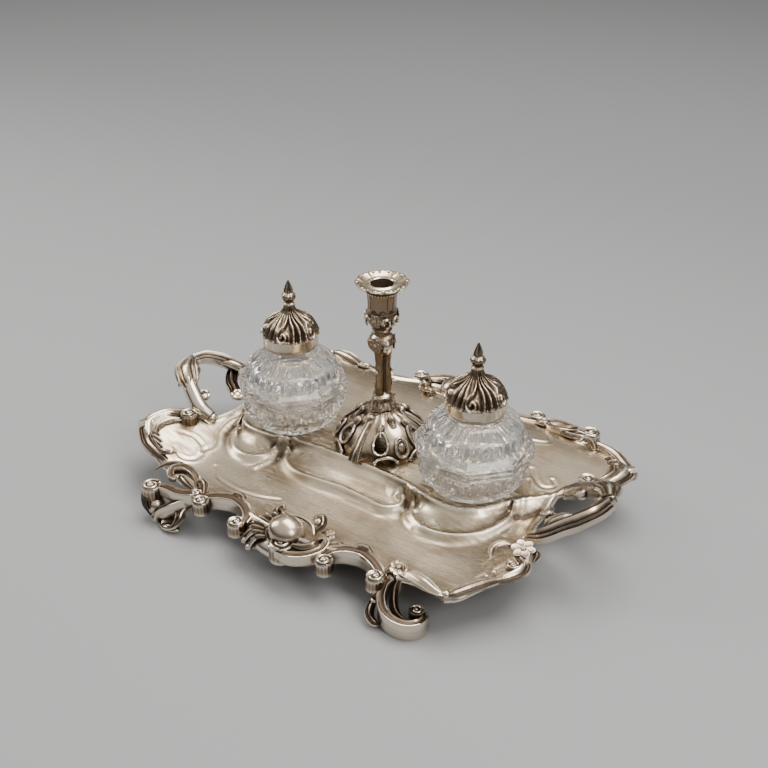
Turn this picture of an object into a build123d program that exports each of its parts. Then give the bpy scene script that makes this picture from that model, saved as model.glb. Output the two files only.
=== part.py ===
from build123d import *
import os
from math import cos, radians, sin

# A silver inkstand: a dished tray on four cast feet carries two cut-glass inkwells and a
# taperstick for sealing wax. Millimetres, +Z up. The origin is on the table, under the
# middle of the tray. +X points to the right handle and -Y to the front.

os.makedirs("parts", exist_ok=True)

# ---------------------------------------------------------------- driving dimensions
# tray
tray_end_x = 119.0          # where the handles meet the rim
tray_side_y = 92.0          # cusps of the rim beside the feet and the cartouches
tray_floor_z = 18.0         # top of the pen trough
rim_side_z = 24.0           # rim height along front and back
rim_end_z = 34.0            # rim height at the flared corners
corner_reach = 21.0         # how far the flared corners stand past the handle cusps
flat_half_x = 80.0          # the trough is level up to here
flat_half_y = 62.0
flare_sink = 0.3
sheet = 1.4                 # thickness of the silver sheet
scallop_bite = 7.0          # depth of the concave arcs of the rim
cartouche_half = 30.0       # half length of the cartouche's seat on the rim
foot_x = 72.0               # cusps of the rim beside the feet

# platform and the coves in front of it
platform_z = 28.5
platform_half_x = 97.0
platform_half_y = 21.0      # from the middle to the cusps of its front edge
platform_back_y = 60.0      # behind this the sheet falls gently to the rim
platform_wing_y = 24.0      # at the ends the front edge sweeps back to here
platform_cusp_x = 42.0      # cusps between the three scallops of each long edge
platform_taper = 20.0       # lean of the pressed wall, degrees
scallop_bulge = 7.0
cove_rise = 4.0             # coves stand this far above the trough
cove_reach = 26.0           # coves reach this far out from the platform's cusps
seat_depth = 0.8            # round seats that the bottles stand in

# castings on the rim
bar_radius = 3.4
bar_height = 9.0
foot_height = 11.0
foot_bar = 7.5
foot_curl = 10.5            # radius of the foot's C-scroll
handle_radius = 3.6
handle_lean = 31.0          # degrees above the table
handle_reach = 45.5         # along the lean, from the rim
handle_half = 23.0          # half width of the loop
handle_foot_gap = 2.0       # between a handle's foot and the flower or volute beside it
boss_radius = 10.0

# inkwells
bottle_x = 66.0
bottle_radius = 36.0
bottle_facets = 8
belly_z = 29.5              # height of the widest tier above the bottle's foot
bottle_foot_radius = 19.0
shoulder_z = 50.0
neck_radius = 14.9
neck_bore = 13.0
neck_height = 9.0
taller_neck = 4.0           # the left bottle's neck is longer
ink_floor = 8.0
glass_wall = 9.0            # at the widest tier

# lids
mount_wall = 0.8
mount_bead = 17.3
lid_slip = 0.3              # radial clearance between lid and neck mount
band_wall = 1.3
band_height = 6.4
dome_overhang = 0.8
dome_height = 20.0
dome_wall = 1.5
finial_radius = 4.6
finial_height = 16.0
finial_stud = 1.6

# taperstick
taper_x = -5.0
taper_y = 11.0
taper_base_radius = 25.5
taper_base_height = 24.0
taper_leg_reach = 31.0
taper_wall = 1.8
stem_radius = 5.0
stem_top_z = 78.0
knop_radius = 8.3
knop_z = 70.6
socket_height = 28.6
candle_bore = 6.9
nozzle_wall = 0.8
nozzle_slip = 0.3            # radial clearance between nozzle and socket
socket_wall = 1.2
socket_swell = 0.6          # the bulge below the flutes stands this proud
nozzle_depth = 18.0
pan_reach = 9.6             # the drip pan's flange past the bore
pan_height = 3.0
screw_radius = 2.0
seat_ring_height = 1.2

# ---------------------------------------------------------------- dependent dimensions
tray_bottom = tray_floor_z - sheet
seat_z = platform_z - seat_depth
seat_radius = bottle_foot_radius + 1.5
rim_under_z = rim_side_z - bar_height
mount_outer = neck_radius + mount_wall
band_inner = mount_outer + lid_slip
socket_bore = candle_bore + nozzle_wall + nozzle_slip
socket_radius = socket_bore + socket_wall
socket_bulge = socket_radius + socket_swell
pan_radius = candle_bore + pan_reach
band_outer = band_inner + band_wall
foot_y = tray_side_y + 3.0
handle_foot_y = handle_half + 2.0
beside_handle_y = handle_foot_y + handle_radius + handle_foot_gap


def save(piece, label):
    """Name a finished piece and write it as its own file."""
    piece.part.label = label
    export_step(piece.part, f"parts/{label}.step")


# ---------------------------------------------------------------- tray
def rim_arcs():
    """Cusp, middle and next cusp of each arc of the rim, for the half from the front
    cartouche round the right end to the back one. The other half is its half turn."""
    x, y = tray_end_x, tray_side_y
    tip_x = (foot_x + x) / 2 + 7
    cusps = [
        (cartouche_half, -y),
        (foot_x, -y),
        (tip_x, -y - 1),
        (x - 1, -y + 26),
        (x, -31),
        (x, 31),
        (x + corner_reach, y - 32),
        (tip_x, y - 12),
        (foot_x, y),
        (cartouche_half, y),
        (-cartouche_half, y),
    ]
    middles = [
        ((cartouche_half + foot_x) / 2, -y + scallop_bite),
        ((foot_x + tip_x) / 2, -y + 4),
        (x - 10, -y + 12),
        (x + 8, -y + 44),
        (x - 6, 0),
        (x + corner_reach - 3, 43),
        (x + 4, y - 17),
        ((foot_x + tip_x) / 2, y - 5),
        ((cartouche_half + foot_x) / 2, y - scallop_bite),
        (0, y + 5),
    ]
    return [(cusps[i], middles[i], cusps[i + 1]) for i in range(len(middles))]


def platform_arcs():
    """The platform's front edge, from left to right: three scallops between two wings that
    sweep out past the rim."""
    x, y, c = platform_half_x, platform_half_y, platform_cusp_x
    wing = (tray_end_x + corner_reach, platform_wing_y)
    return [
        ((-wing[0], wing[1]), (-x - 10, 12), (-x, -6)),
        ((-x, -6), (-bottle_x, -y - scallop_bulge), (-c, -y)),
        ((-c, -y), (0, -y + 2), (c, -y)),
        ((c, -y), (bottle_x, -y - scallop_bulge), (x, -6)),
        ((x, -6), (x + 10, 12), wing),
    ]


def cove_arcs():
    """Outer edges of the two end coves and the middle cove in front of the platform."""
    x, y, c = platform_half_x, platform_half_y, platform_cusp_x
    deep = y + cove_reach
    return [
        ((-c + 4, -y), (0, -deep + 1), (c - 4, -y)),
        ((c + 2, -y), (bottle_x + 6, -deep - 4), (x - 2, -6)),
        ((-c - 2, -y), (-bottle_x - 6, -deep - 4), (-x + 2, -6)),
    ]


def dish(drop):
    """Everything below the sheet's face, lowered and drawn in by drop: the top face at 0,
    the underside at the sheet's thickness. The tray is the first less the second."""
    span_x = tray_end_x + corner_reach + 15
    span_y = tray_side_y + 15
    # the end flares start just under the trough, so that they cross its floor at an angle
    end_level = tray_floor_z - drop - flare_sink
    with BuildPart() as body:
        with BuildSketch(Plane.XZ):
            with BuildLine():
                Line((-flat_half_x, end_level), (flat_half_x, end_level))
                TangentArc((flat_half_x, end_level), (span_x, rim_end_z + 6 - drop), tangent=(1, 0))
                Line((span_x, rim_end_z + 6 - drop), (span_x, 0))
                Line((span_x, 0), (-span_x, 0))
                Line((-span_x, 0), (-span_x, rim_end_z + 6 - drop))
                TangentArc((-flat_half_x, end_level), (-span_x, rim_end_z + 6 - drop), tangent=(-1, 0))
            make_face()
        extrude(amount=span_y, both=True)
        with BuildSketch(Plane.YZ):
            with BuildLine():
                Line((-flat_half_y, tray_floor_z - drop), (platform_wing_y + 6, tray_floor_z - drop))
                Line((platform_wing_y + 6, tray_floor_z - drop), (platform_wing_y + 6, platform_z - drop))
                Line((platform_wing_y + 6, platform_z - drop), (platform_back_y, platform_z - drop))
                TangentArc((platform_back_y, platform_z - drop), (span_y, rim_side_z - 5.5 - drop),
                           tangent=(1, 0))
                Line((span_y, rim_side_z - 5.5 - drop), (span_y, 0))
                Line((span_y, 0), (-span_y, 0))
                Line((-span_y, 0), (-span_y, rim_side_z + 7 - drop))
                TangentArc((-flat_half_y, tray_floor_z - drop), (-span_y, rim_side_z + 7 - drop),
                           tangent=(-1, 0))
            make_face()
        extrude(amount=span_x, both=True)
        for start, middle, end in cove_arcs():
            with BuildSketch(Plane.XY.offset(tray_floor_z - drop - 1)):
                with BuildLine():
                    ThreePointArc(start, middle, end)
                    Line(end, start)
                make_face()
                offset(amount=-drop)
            extrude(amount=cove_rise + 1, taper=platform_taper)
        with BuildSketch(Plane.XY.offset(tray_floor_z - drop - 1)):
            with BuildLine():
                front_edge = platform_arcs()
                for arc in front_edge:
                    ThreePointArc(*arc)
                Polyline(front_edge[-1][2], (front_edge[-1][2][0], platform_back_y),
                         (front_edge[0][0][0], platform_back_y), front_edge[0][0])
            make_face()
            offset(amount=-drop)
        extrude(amount=platform_z - tray_floor_z + 1, taper=platform_taper)
        with BuildSketch(Plane.XY.offset(seat_z - drop)):
            with Locations((-bottle_x, 0), (bottle_x, 0)):
                Circle(seat_radius + drop)
        extrude(amount=seat_depth + sheet, mode=Mode.SUBTRACT)
    return body


def make_tray():
    with BuildPart() as tray:
        add(dish(0).part)
        with BuildSketch(Plane.XY):
            with BuildLine():
                for turn in (1, -1):
                    for arc in rim_arcs():
                        ThreePointArc(*[(turn * p[0], turn * p[1]) for p in arc])
            make_face()
        extrude(amount=rim_end_z * 2, mode=Mode.INTERSECT)
        add(dish(sheet).part, mode=Mode.SUBTRACT)
    return tray


tray = make_tray()
save(tray, "tray")


# ---------------------------------------------------------------- castings on the rim
def bar(points, radius, height):
    """A round bar along one arc at a level height."""
    with BuildPart() as piece:
        with BuildLine(Plane.XY.offset(height)) as path:
            ThreePointArc(*points)
        with BuildSketch(Plane(origin=path.line @ 0, z_dir=path.line % 0)):
            Circle(radius)
        sweep(path=path.line)
    return piece


def soldered(piece):
    """The casting with the tray's sheet taken out of it, so that the two meet face to face."""
    with BuildPart() as fitted:
        add(piece.part)
        add(tray.part, mode=Mode.SUBTRACT)
    return fitted


def make_cartouche(turn):
    """Shell plate with a polished boss and three small volutes. turn is 1 in front."""
    edge = tray_side_y
    with BuildPart() as piece:
        with BuildSketch(Plane.XY.offset(rim_under_z - 3)):
            with BuildLine():
                Line((turn * 26, turn * (8 - edge)), (-turn * 26, turn * (8 - edge)))
                ThreePointArc((-turn * 26, turn * (8 - edge)), (-turn * 25, turn * (-9 - edge)),
                              (-turn * 14, turn * (-17 - edge)))
                ThreePointArc((-turn * 14, turn * (-17 - edge)), (turn * 2, turn * (-17.5 - edge)),
                              (turn * 17, turn * (-14 - edge)))
                ThreePointArc((turn * 17, turn * (-14 - edge)), (turn * 24, turn * (-6 - edge)),
                              (turn * 26, turn * (8 - edge)))
            make_face()
        extrude(amount=bar_height + 3, taper=12)
        with Locations((0, -turn * (edge + 1), rim_side_z + 2)):
            Sphere(boss_radius)
        with BuildSketch(Plane.XY.offset(rim_under_z)):
            with Locations((turn * 3, -turn * (edge + 11)), (turn * 17, -turn * (edge + 4)),
                           (-turn * 17, -turn * (edge + 8))):
                Circle(6)
        extrude(amount=bar_height + 2)
    return soldered(piece)


def make_scroll(turn, side):
    """C-scroll bar from the cartouche to a foot, with a flat-topped volute at each end."""
    inner_x, outer_x = cartouche_half + 2, foot_x - 9
    middle_x = (inner_x + outer_x) / 2
    height = rim_side_z - bar_radius + 1

    def place(x, y):
        return (side * turn * x, -turn * y)

    bow = bar([place(inner_x, tray_side_y + 6), place(middle_x, tray_side_y - 6),
               place(outer_x, tray_side_y + 3)], bar_radius, height)
    with BuildPart() as piece:
        add(bow.part)
        with BuildSketch(Plane.XY.offset(height - 5)):
            with Locations(place(inner_x - 1, tray_side_y + 9.5), place(outer_x - 1, tray_side_y + 6)):
                Circle(5.2)
        extrude(amount=bar_height)
    return soldered(piece)


def make_foot(turn, side):
    """Scroll foot: a leaning neck under the rim and a C-scroll that lies on the table."""

    def place(x, y):
        return (side * turn * x, -turn * y)

    centre_x, centre_y = foot_x + 11, foot_y
    r = foot_curl
    with BuildPart() as piece:
        with BuildSketch(Plane.XY):
            with BuildLine() as path:
                ThreePointArc(place(centre_x - r - 4, centre_y - 6), place(centre_x - r + 1, centre_y + 4),
                              place(centre_x, centre_y + r))
                ThreePointArc(place(centre_x, centre_y + r), place(centre_x + r, centre_y),
                              place(centre_x + 4, centre_y - r + 4))
            trace(line_width=foot_bar)
            with Locations(place(centre_x - r - 8, centre_y + 6)):
                Circle(4.5)
            with Locations(place(centre_x - r - 4, centre_y + 1)):
                Circle(4.5)
            with Locations(place(centre_x + 3.5, centre_y - r + 5)):
                Circle(4.6)
        extrude(amount=foot_height)
        with BuildSketch(Plane.XY.offset(foot_height - 1)):
            with Locations(place(centre_x - r - 4, centre_y - 6)):
                Circle(5.5)
        with BuildSketch(Plane.XY.offset(rim_side_z - 1)):
            with Locations(place(foot_x + 2, tray_side_y - 1)):
                Circle(6.5)
        loft()
    return soldered(piece)


def make_leaf(turn):
    """Rolled leaf along a flared corner: a round bar on the edge that ends in a roll."""
    x, y, reach = tray_end_x, tray_side_y, corner_reach
    height = rim_end_z - 5
    roll = bar([(turn * (x + 3), turn * 33), (turn * (x + reach - 3), turn * 43),
                (turn * (x + reach), turn * (y - 32))], bar_radius, height)
    crest = bar([(turn * (x + reach), turn * (y - 32)), (turn * (x + 4), turn * (y - 17)),
                 (turn * (x - 14), turn * (y - 12))], bar_radius, height - 2)
    with BuildPart() as piece:
        add(roll.part)
        add(crest.part)
        with Locations(Location((turn * (x + reach), turn * (y - 32), height - 1), (0, 0, 90 - 90 * turn))):
            Sphere(bar_radius + 2)
        with BuildSketch(Plane.XY.offset(height - 6)):
            with Locations((turn * (x + 5), turn * (beside_handle_y + 6))):
                Circle(6)
        extrude(amount=bar_height + 2)
    return soldered(piece)


def make_flower(turn):
    """Flower at the other corners, with a leaf bar that runs on along the edge."""
    x, y = tray_end_x, tray_side_y
    height = rim_side_z + 2
    edge = bar([(turn * x, -turn * 33), (turn * (x + 8), -turn * (y - 44)),
                (turn * (x - 1), -turn * (y - 26))], bar_radius, height)
    tip = bar([(turn * (x - 1), -turn * (y - 26)), (turn * (x - 9), -turn * (y - 12)),
               (turn * ((foot_x + x) / 2 + 7), -turn * (y - 1))], bar_radius, height)
    with BuildPart() as piece:
        add(edge.part)
        add(tip.part)
        with Locations((turn * (x - 1), -turn * (y - 26), height)):
            Sphere(bar_radius)
        with BuildSketch(Plane.XY.offset(height - 3)):
            with Locations((turn * x, -turn * (beside_handle_y + 8))):
                Circle(5)
                with PolarLocations(5, 5):
                    Circle(3)
        extrude(amount=bar_height - 1)
    return soldered(piece)


for turn, end in ((1, "front"), (-1, "back")):
    save(make_cartouche(turn), f"{end}_cartouche")
    for side in (1, -1):
        across = "right" if side * turn > 0 else "left"
        save(make_scroll(turn, side), f"{end}_{across}_scroll")
        save(make_foot(turn, side), f"{end}_{across}_foot")
save(make_leaf(1), "back_right_leaf")
save(make_leaf(-1), "front_left_leaf")
save(make_flower(1), "front_right_flower")
save(make_flower(-1), "back_left_flower")


# ---------------------------------------------------------------- handles
def make_handle(turn):
    """Open scroll handle: a D-shaped loop of round bar that leans up and out from the rim,
    a volute inside the loop and a leaf sheath on its outer bend."""
    lean = radians(handle_lean)
    plane = Plane(origin=(turn * (tray_end_x - 5), 0, rim_side_z + 1),
                  x_dir=(turn * cos(lean), 0, sin(lean)), z_dir=(-turn * sin(lean), 0, cos(lean)))
    u, v = handle_reach, handle_half
    with BuildPart() as piece:
        with BuildLine(plane) as loop:
            low = ThreePointArc((3, -handle_foot_y), (u * 0.45, -v * 0.95), (u * 0.8, -v * 0.5))
            outer = TangentArc(low @ 1, (u, v * 0.5), tangent=low % 1)
            TangentArc(outer @ 1, (u * 0.35, v * 1.05), tangent=outer % 1)
            Line((u * 0.35, v * 1.05), (3, handle_foot_y))
        with BuildSketch(Plane(origin=loop.line @ 0, z_dir=loop.line % 0)):
            Circle(handle_radius)
        sweep(path=loop.line, transition=Transition.ROUND)
        with BuildLine(plane) as curl:
            ThreePointArc((4, -v * 0.1), (u * 0.3, -v * 0.35), (u * 0.45, -v * 0.9))
        with BuildSketch(Plane(origin=curl.line @ 0, z_dir=curl.line % 0)):
            Circle(handle_radius - 0.8)
        sweep(path=curl.line)
        with BuildSketch(plane.offset(-4)):
            with Locations((4, -v * 0.1), (u * 0.35, v * 0.85)):
                Circle(5)
        extrude(amount=8)
        for place in (outer @ 0.85, outer @ 0.55, outer @ 0.98):
            with Locations(place):
                Sphere(handle_radius + 1.2)
        add(tray.part, mode=Mode.SUBTRACT)
    return piece


save(make_handle(1), "right_handle")
save(make_handle(-1), "left_handle")


# ---------------------------------------------------------------- inkwells
def make_bottle(extra_neck):
    """Cut-glass bottle with facets, two tiers, mitred flutes and an ink chamber."""
    top = shoulder_z + neck_height + extra_neck
    r = bottle_radius
    with BuildPart() as bottle:
        with BuildSketch(Plane.XZ):
            with BuildLine():
                Line((0, 0), (bottle_foot_radius, 0))
                ThreePointArc((bottle_foot_radius, 0), (r - 6, 9.5), (r, belly_z))
                Line((r, belly_z), (r - 7, belly_z + 7))
                ThreePointArc((r - 7, belly_z + 7), (r - 10, belly_z + 13), (neck_radius + 3, shoulder_z))
                Line((neck_radius + 3, shoulder_z), (neck_radius, shoulder_z + 1))
                Line((neck_radius, shoulder_z + 1), (neck_radius, top))
                Line((neck_radius, top), (0, top))
                Line((0, top), (0, 0))
            make_face()
        revolve(axis=Axis.Z)
        with BuildSketch():
            RegularPolygon(radius=r + 0.6, side_count=bottle_facets)
        extrude(amount=top, mode=Mode.INTERSECT)
        flute_angle = 360 / (3 * bottle_facets)
        for index in range(3 * bottle_facets):
            flute = Plane.XZ.rotated((0, 0, (index + 0.5) * flute_angle))
            with BuildSketch(flute):
                with BuildLine():
                    ThreePointArc((bottle_foot_radius + 4, 2.5), (r - 7.5, 9.5), (r - 3.2, belly_z - 5))
                    Line((r - 3.2, belly_z - 5), (r + 3, belly_z - 5))
                    Line((r + 3, belly_z - 5), (r + 3, 2.5))
                    Line((r + 3, 2.5), (bottle_foot_radius + 4, 2.5))
                make_face()
            extrude(amount=0.6, both=True, mode=Mode.SUBTRACT)
        inner = r - glass_wall
        with BuildSketch(Plane.XZ):
            with BuildLine():
                Line((0, ink_floor), (inner - 9, ink_floor))
                ThreePointArc((inner - 9, ink_floor), (inner - 2, ink_floor + 5), (inner, belly_z - 6))
                ThreePointArc((inner, belly_z - 6), (inner - 5, belly_z + 8), (neck_bore, shoulder_z - 3))
                Line((neck_bore, shoulder_z - 3), (neck_bore, top))
                Line((neck_bore, top), (0, top))
                Line((0, top), (0, ink_floor))
            make_face()
        revolve(axis=Axis.Z, mode=Mode.SUBTRACT)
    return bottle


def profile(points):
    """Close a turned profile given as (radius, height) points and spin it about the axis."""
    with BuildPart() as turned:
        with BuildSketch(Plane.XZ):
            with BuildLine():
                Polyline(*points, close=True)
            make_face()
        revolve(axis=Axis.Z)
    return turned


def write(solid, place, label):
    """Stand a piece made on the axis at its place and write it."""
    with BuildPart() as piece:
        with Locations(place):
            add(solid)
    save(piece, label)


def make_inkwell(name, x, extra_neck):
    top = shoulder_z + neck_height + extra_neck
    bead_z = top - neck_height + 2.5
    bead_top = bead_z + 1.2
    band_top = bead_top + band_height
    place = (x, 0, seat_z)
    write(make_bottle(extra_neck).part, place, f"{name}_bottle")

    neck_mount = profile([(neck_radius, bead_z), (mount_bead, bead_z), (mount_bead, bead_top),
                          (mount_outer, bead_top), (mount_outer, top), (neck_radius, top)])
    write(neck_mount.part, place, f"{name}_neck_mount")

    lid_band = profile([(band_inner, bead_top), (band_outer, bead_top), (band_outer, band_top),
                        (band_inner, band_top)])
    write(lid_band.part, place, f"{name}_lid_band")

    r = band_outer + dome_overhang
    crown_z = band_top + dome_height
    stud_z = crown_z - dome_wall - 3.5
    with BuildPart() as dome:
        with BuildSketch(Plane.XZ):
            with BuildLine():
                Line((band_inner, band_top), (r, band_top))
                ThreePointArc((r, band_top), (r - 2.5, band_top + 7), (finial_radius + 4, crown_z - 5))
                ThreePointArc((finial_radius + 4, crown_z - 5), (finial_radius + 0.5, crown_z - 2.6),
                              (finial_radius - 0.8, crown_z))
                Line((finial_radius - 0.8, crown_z), (finial_stud, crown_z))
                Line((finial_stud, crown_z), (finial_stud, crown_z - 4))
                Line((finial_stud, crown_z - 4), (finial_radius, crown_z - 5))
                ThreePointArc((finial_radius, crown_z - 5), (r - 5.5, band_top + 7), (band_inner, band_top))
            make_face()
        revolve(axis=Axis.Z)
    write(dome.part, place, f"{name}_lid_dome")

    cup = finial_radius
    finial = profile([(0, crown_z - 8), (finial_stud, crown_z - 8), (finial_stud, crown_z),
                      (cup - 1, crown_z), (cup - 1.6, crown_z + 2), (cup, crown_z + 4.5),
                      (cup - 0.6, crown_z + 7), (cup - 2.2, crown_z + 8), (cup - 1.8, crown_z + 9.5),
                      (0.6, crown_z + finial_height), (0, crown_z + finial_height)])
    write(finial.part, place, f"{name}_finial")

    with BuildPart() as nut:
        with BuildSketch(Plane.XY.offset(stud_z - 2.6)):
            RegularPolygon(radius=3.6, side_count=6)
            Circle(finial_stud, mode=Mode.SUBTRACT)
        extrude(amount=2)
    write(nut.part, place, f"{name}_finial_nut")


make_inkwell("left", -bottle_x, taller_neck)
make_inkwell("right", bottle_x, 0)


# ---------------------------------------------------------------- taperstick
def make_taper_base():
    """Pierced dome on three legs, with oval cabochons between the pierced ovals."""
    r, h, wall = taper_base_radius, taper_base_height, taper_wall
    with BuildPart() as base:
        with BuildSketch(Plane.XZ):
            with BuildLine():
                Line((r - 3 - wall, 0), (r - 3, 0))
                ThreePointArc((r - 3, 0), (r - 1, 9), (stem_radius + 5, h - 4))
                Line((stem_radius + 5, h - 4), (stem_radius + 3, h))
                Line((stem_radius + 3, h), (screw_radius, h))
                Line((screw_radius, h), (screw_radius, h - 5))
                Line((screw_radius, h - 5), (stem_radius + 4, h - 6))
                ThreePointArc((stem_radius + 4, h - 6), (r - 2.6 - wall, 8.5), (r - 3 - wall, 0))
            make_face()
        revolve(axis=Axis.Z)
        for index in range(3):
            leg_angle = index * 120 - 90
            with BuildLine(Plane.XZ.rotated((0, 0, leg_angle))) as rib:
                ThreePointArc((taper_leg_reach - 2.4, 2.4), (r - 4, 13), (stem_radius + 4, h - 2))
            with BuildSketch(Plane(origin=rib.line @ 0, z_dir=rib.line % 0)):
                Circle(2.4)
            sweep(path=rib.line)
            with Locations(rib.line @ 0):
                Sphere(2.4)
            for hole_angle in (leg_angle + 31, leg_angle + 89):
                window = Plane.YZ.rotated((0, 0, hole_angle))
                with BuildSketch(window):
                    with Locations((0, 11)):
                        Ellipse(3.4, 4.4)
                extrude(amount=r + 5, mode=Mode.SUBTRACT)
            arch = Plane.YZ.rotated((0, 0, leg_angle + 60))
            with BuildSketch(arch):
                Circle(5)
            extrude(amount=r + 5, mode=Mode.SUBTRACT)
            cabochon = Location((0, 0, 0), (0, 0, leg_angle + 60)) * Location((r - 4.5, 0, 11.5))
            with Locations(cabochon):
                Sphere(4)
        with BuildSketch(Plane.XY):
            Circle(r + 12)
        extrude(amount=-5, mode=Mode.SUBTRACT)
    return base


def make_stem():
    """Slender stem with three hollow flutes and a knop below the socket."""
    top, h = stem_top_z, taper_base_height
    turned = profile([(0, h), (stem_radius + 3, h), (stem_radius + 2.5, h + 4), (stem_radius + 0.8, h + 12),
                      (stem_radius - 0.3, h + 30), (stem_radius + 0.4, knop_z - 6),
                      (knop_radius, knop_z - 1.5), (knop_radius, knop_z + 1.5),
                      (stem_radius + 1.5, top - 1.5), (stem_radius + 1.5, top), (screw_radius + 1, top),
                      (screw_radius + 1, top + 4), (0, top + 4)])
    with BuildPart() as stem:
        add(turned.part)
        with PolarLocations(stem_radius + 1.6, 3, start_angle=60):
            with Locations((0, 0, (h + knop_z) / 2)):
                Cylinder(2.2, knop_z - h - 16, mode=Mode.SUBTRACT)
        with BuildSketch(Plane.XY.offset(h)):
            Circle(screw_radius)
        extrude(amount=10, mode=Mode.SUBTRACT)
    return stem


def make_socket():
    z, top = stem_top_z, stem_top_z + socket_height
    bore = socket_bore
    return profile([(screw_radius + 1, z), (stem_radius + 1.5, z), (socket_bulge, z + 8),
                    (socket_radius, z + 14), (socket_radius + 0.3, top), (bore, top), (bore, z + 8),
                    (screw_radius + 1, z + 6)])


def make_nozzle():
    """Lift-out drip pan with a sleeve that hangs in the socket and holds the candle."""
    z = stem_top_z + socket_height
    outer, inner = candle_bore + nozzle_wall, candle_bore
    return profile([(inner, z - nozzle_depth), (outer, z - nozzle_depth), (outer, z),
                    (socket_radius + 1, z), (pan_radius, z + pan_height - 1.2),
                    (pan_radius, z + pan_height), (inner + 3, z + 1.2), (inner, z + 1.2)])


def make_screw():
    """Screw from below that draws the base up against the stem."""
    h = taper_base_height
    return profile([(0, h - 8), (screw_radius + 2.5, h - 8), (screw_radius + 2.5, h - 6),
                    (screw_radius, h - 5), (screw_radius, h + 9), (0, h + 9)])


taper_place = (taper_x, taper_y, platform_z)
write(make_taper_base().part, taper_place, "taper_base")
write(make_stem().part, taper_place, "taper_stem")
write(make_socket().part, taper_place, "taper_socket")
write(make_nozzle().part, taper_place, "taper_nozzle")
write(make_screw().part, taper_place, "stem_screw")

seat_ring_radius = taper_base_radius - 3 - taper_wall - 0.4
seat_ring = profile([(seat_ring_radius - 3, 0), (seat_ring_radius, 0),
                     (seat_ring_radius, seat_ring_height), (seat_ring_radius - 3, seat_ring_height)])
write(seat_ring.part, taper_place, "taper_seat")

with BuildPart() as taper_lug:
    with BuildSketch(Plane.XY.offset(platform_z)):
        with Locations(Location((taper_x, taper_y, 0), (0, 0, -30)) * Location((taper_base_radius + 1, 0, 0))):
            Rectangle(5, 7)
    extrude(amount=2.4)
save(taper_lug, "taper_lug")
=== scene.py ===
# %% [markdown]
# # A silver inkstand with two cut-glass inkwells and a taperstick
# This lesson dresses a finished CAD model. The CAD nodes give every piece its place and its
# room; here all but the seat ring, lug, screw and finial nuts are replaced by a detailed mesh
# of the same size. All get a finish.
# All lengths are in metres. Where a millimetre reads better, it is written as 3 * MM.

# %% Load the frame
from math import atan2, cos, hypot, pi, radians, sin

import bmesh
import bpy
import numpy as np
from mathutils import Matrix, Vector


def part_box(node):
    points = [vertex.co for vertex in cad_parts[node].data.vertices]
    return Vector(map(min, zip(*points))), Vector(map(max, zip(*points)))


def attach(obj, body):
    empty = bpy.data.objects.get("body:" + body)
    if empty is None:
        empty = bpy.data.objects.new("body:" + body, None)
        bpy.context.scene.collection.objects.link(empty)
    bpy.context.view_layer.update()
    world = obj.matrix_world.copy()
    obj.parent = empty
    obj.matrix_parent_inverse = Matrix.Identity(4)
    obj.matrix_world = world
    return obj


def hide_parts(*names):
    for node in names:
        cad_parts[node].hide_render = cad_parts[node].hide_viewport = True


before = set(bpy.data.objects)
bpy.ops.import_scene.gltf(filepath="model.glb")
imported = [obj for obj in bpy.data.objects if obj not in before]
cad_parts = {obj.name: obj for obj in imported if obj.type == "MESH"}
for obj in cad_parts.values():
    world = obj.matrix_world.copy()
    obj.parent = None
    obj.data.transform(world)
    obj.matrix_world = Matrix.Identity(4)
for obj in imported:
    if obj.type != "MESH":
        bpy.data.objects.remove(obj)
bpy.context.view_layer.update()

MM = 0.001

# %% [markdown]
# ## Where things stand
# Every place comes from the CAD boxes: the axis of a turned piece is the middle of its box,
# and the level that it stands on is the low corner.

# %% Read the places from the frame
def middle(node):
    low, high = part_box(node)
    return (Vector(low) + Vector(high)) / 2


def level(node):
    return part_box(node)[0][2]


inkwells = {side: middle(f"{side}_bottle").xy for side in ("left", "right")}
seat_level = level("left_bottle")
platform = level("taper_base")
taper_axis = middle("taper_socket").xy
print("bottles at", inkwells, "platform at", platform)

# %% [markdown]
# ## Camera
# The object is seen from the front and a little from the right, about thirty degrees above
# the table, with a short telephoto lens. A camera looks along its own -Z, so its rotation is
# made from the direction that it looks in.

# %% Camera
azimuth, elevation = radians(33.33), radians(30.3)
towards_camera = Vector((sin(azimuth) * cos(elevation), -cos(azimuth) * cos(elevation), sin(elevation)))
camera_data = bpy.data.cameras.new("camera")
camera_data.lens = 51.56
camera_data.sensor_width = 36
camera = bpy.data.objects.new("camera", camera_data)
camera.location = (0.31539, -0.47415, 0.40858)
camera.rotation_euler = (-towards_camera).to_track_quat("-Z", "Y").to_euler()
bpy.context.collection.objects.link(camera)
bpy.context.scene.camera = camera

# %% [markdown]
# ## Shader maths as expressions
# A pattern is easier to read as `0.3 + 0.5 * mask` than as a row of nodes. `Term` wraps one
# socket. Each operator adds one Math node, and `node` adds any other node: first its
# settings, then the values or links of its sockets.

# %% A socket that takes part in sums
OBJECT = 3      # the Object output of Texture Coordinate
NUMBER = 2      # the Factor output of Attribute
OCCLUSION = 1   # the AO output of Ambient Occlusion
NORMAL = 1      # the Normal output of Geometry


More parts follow.
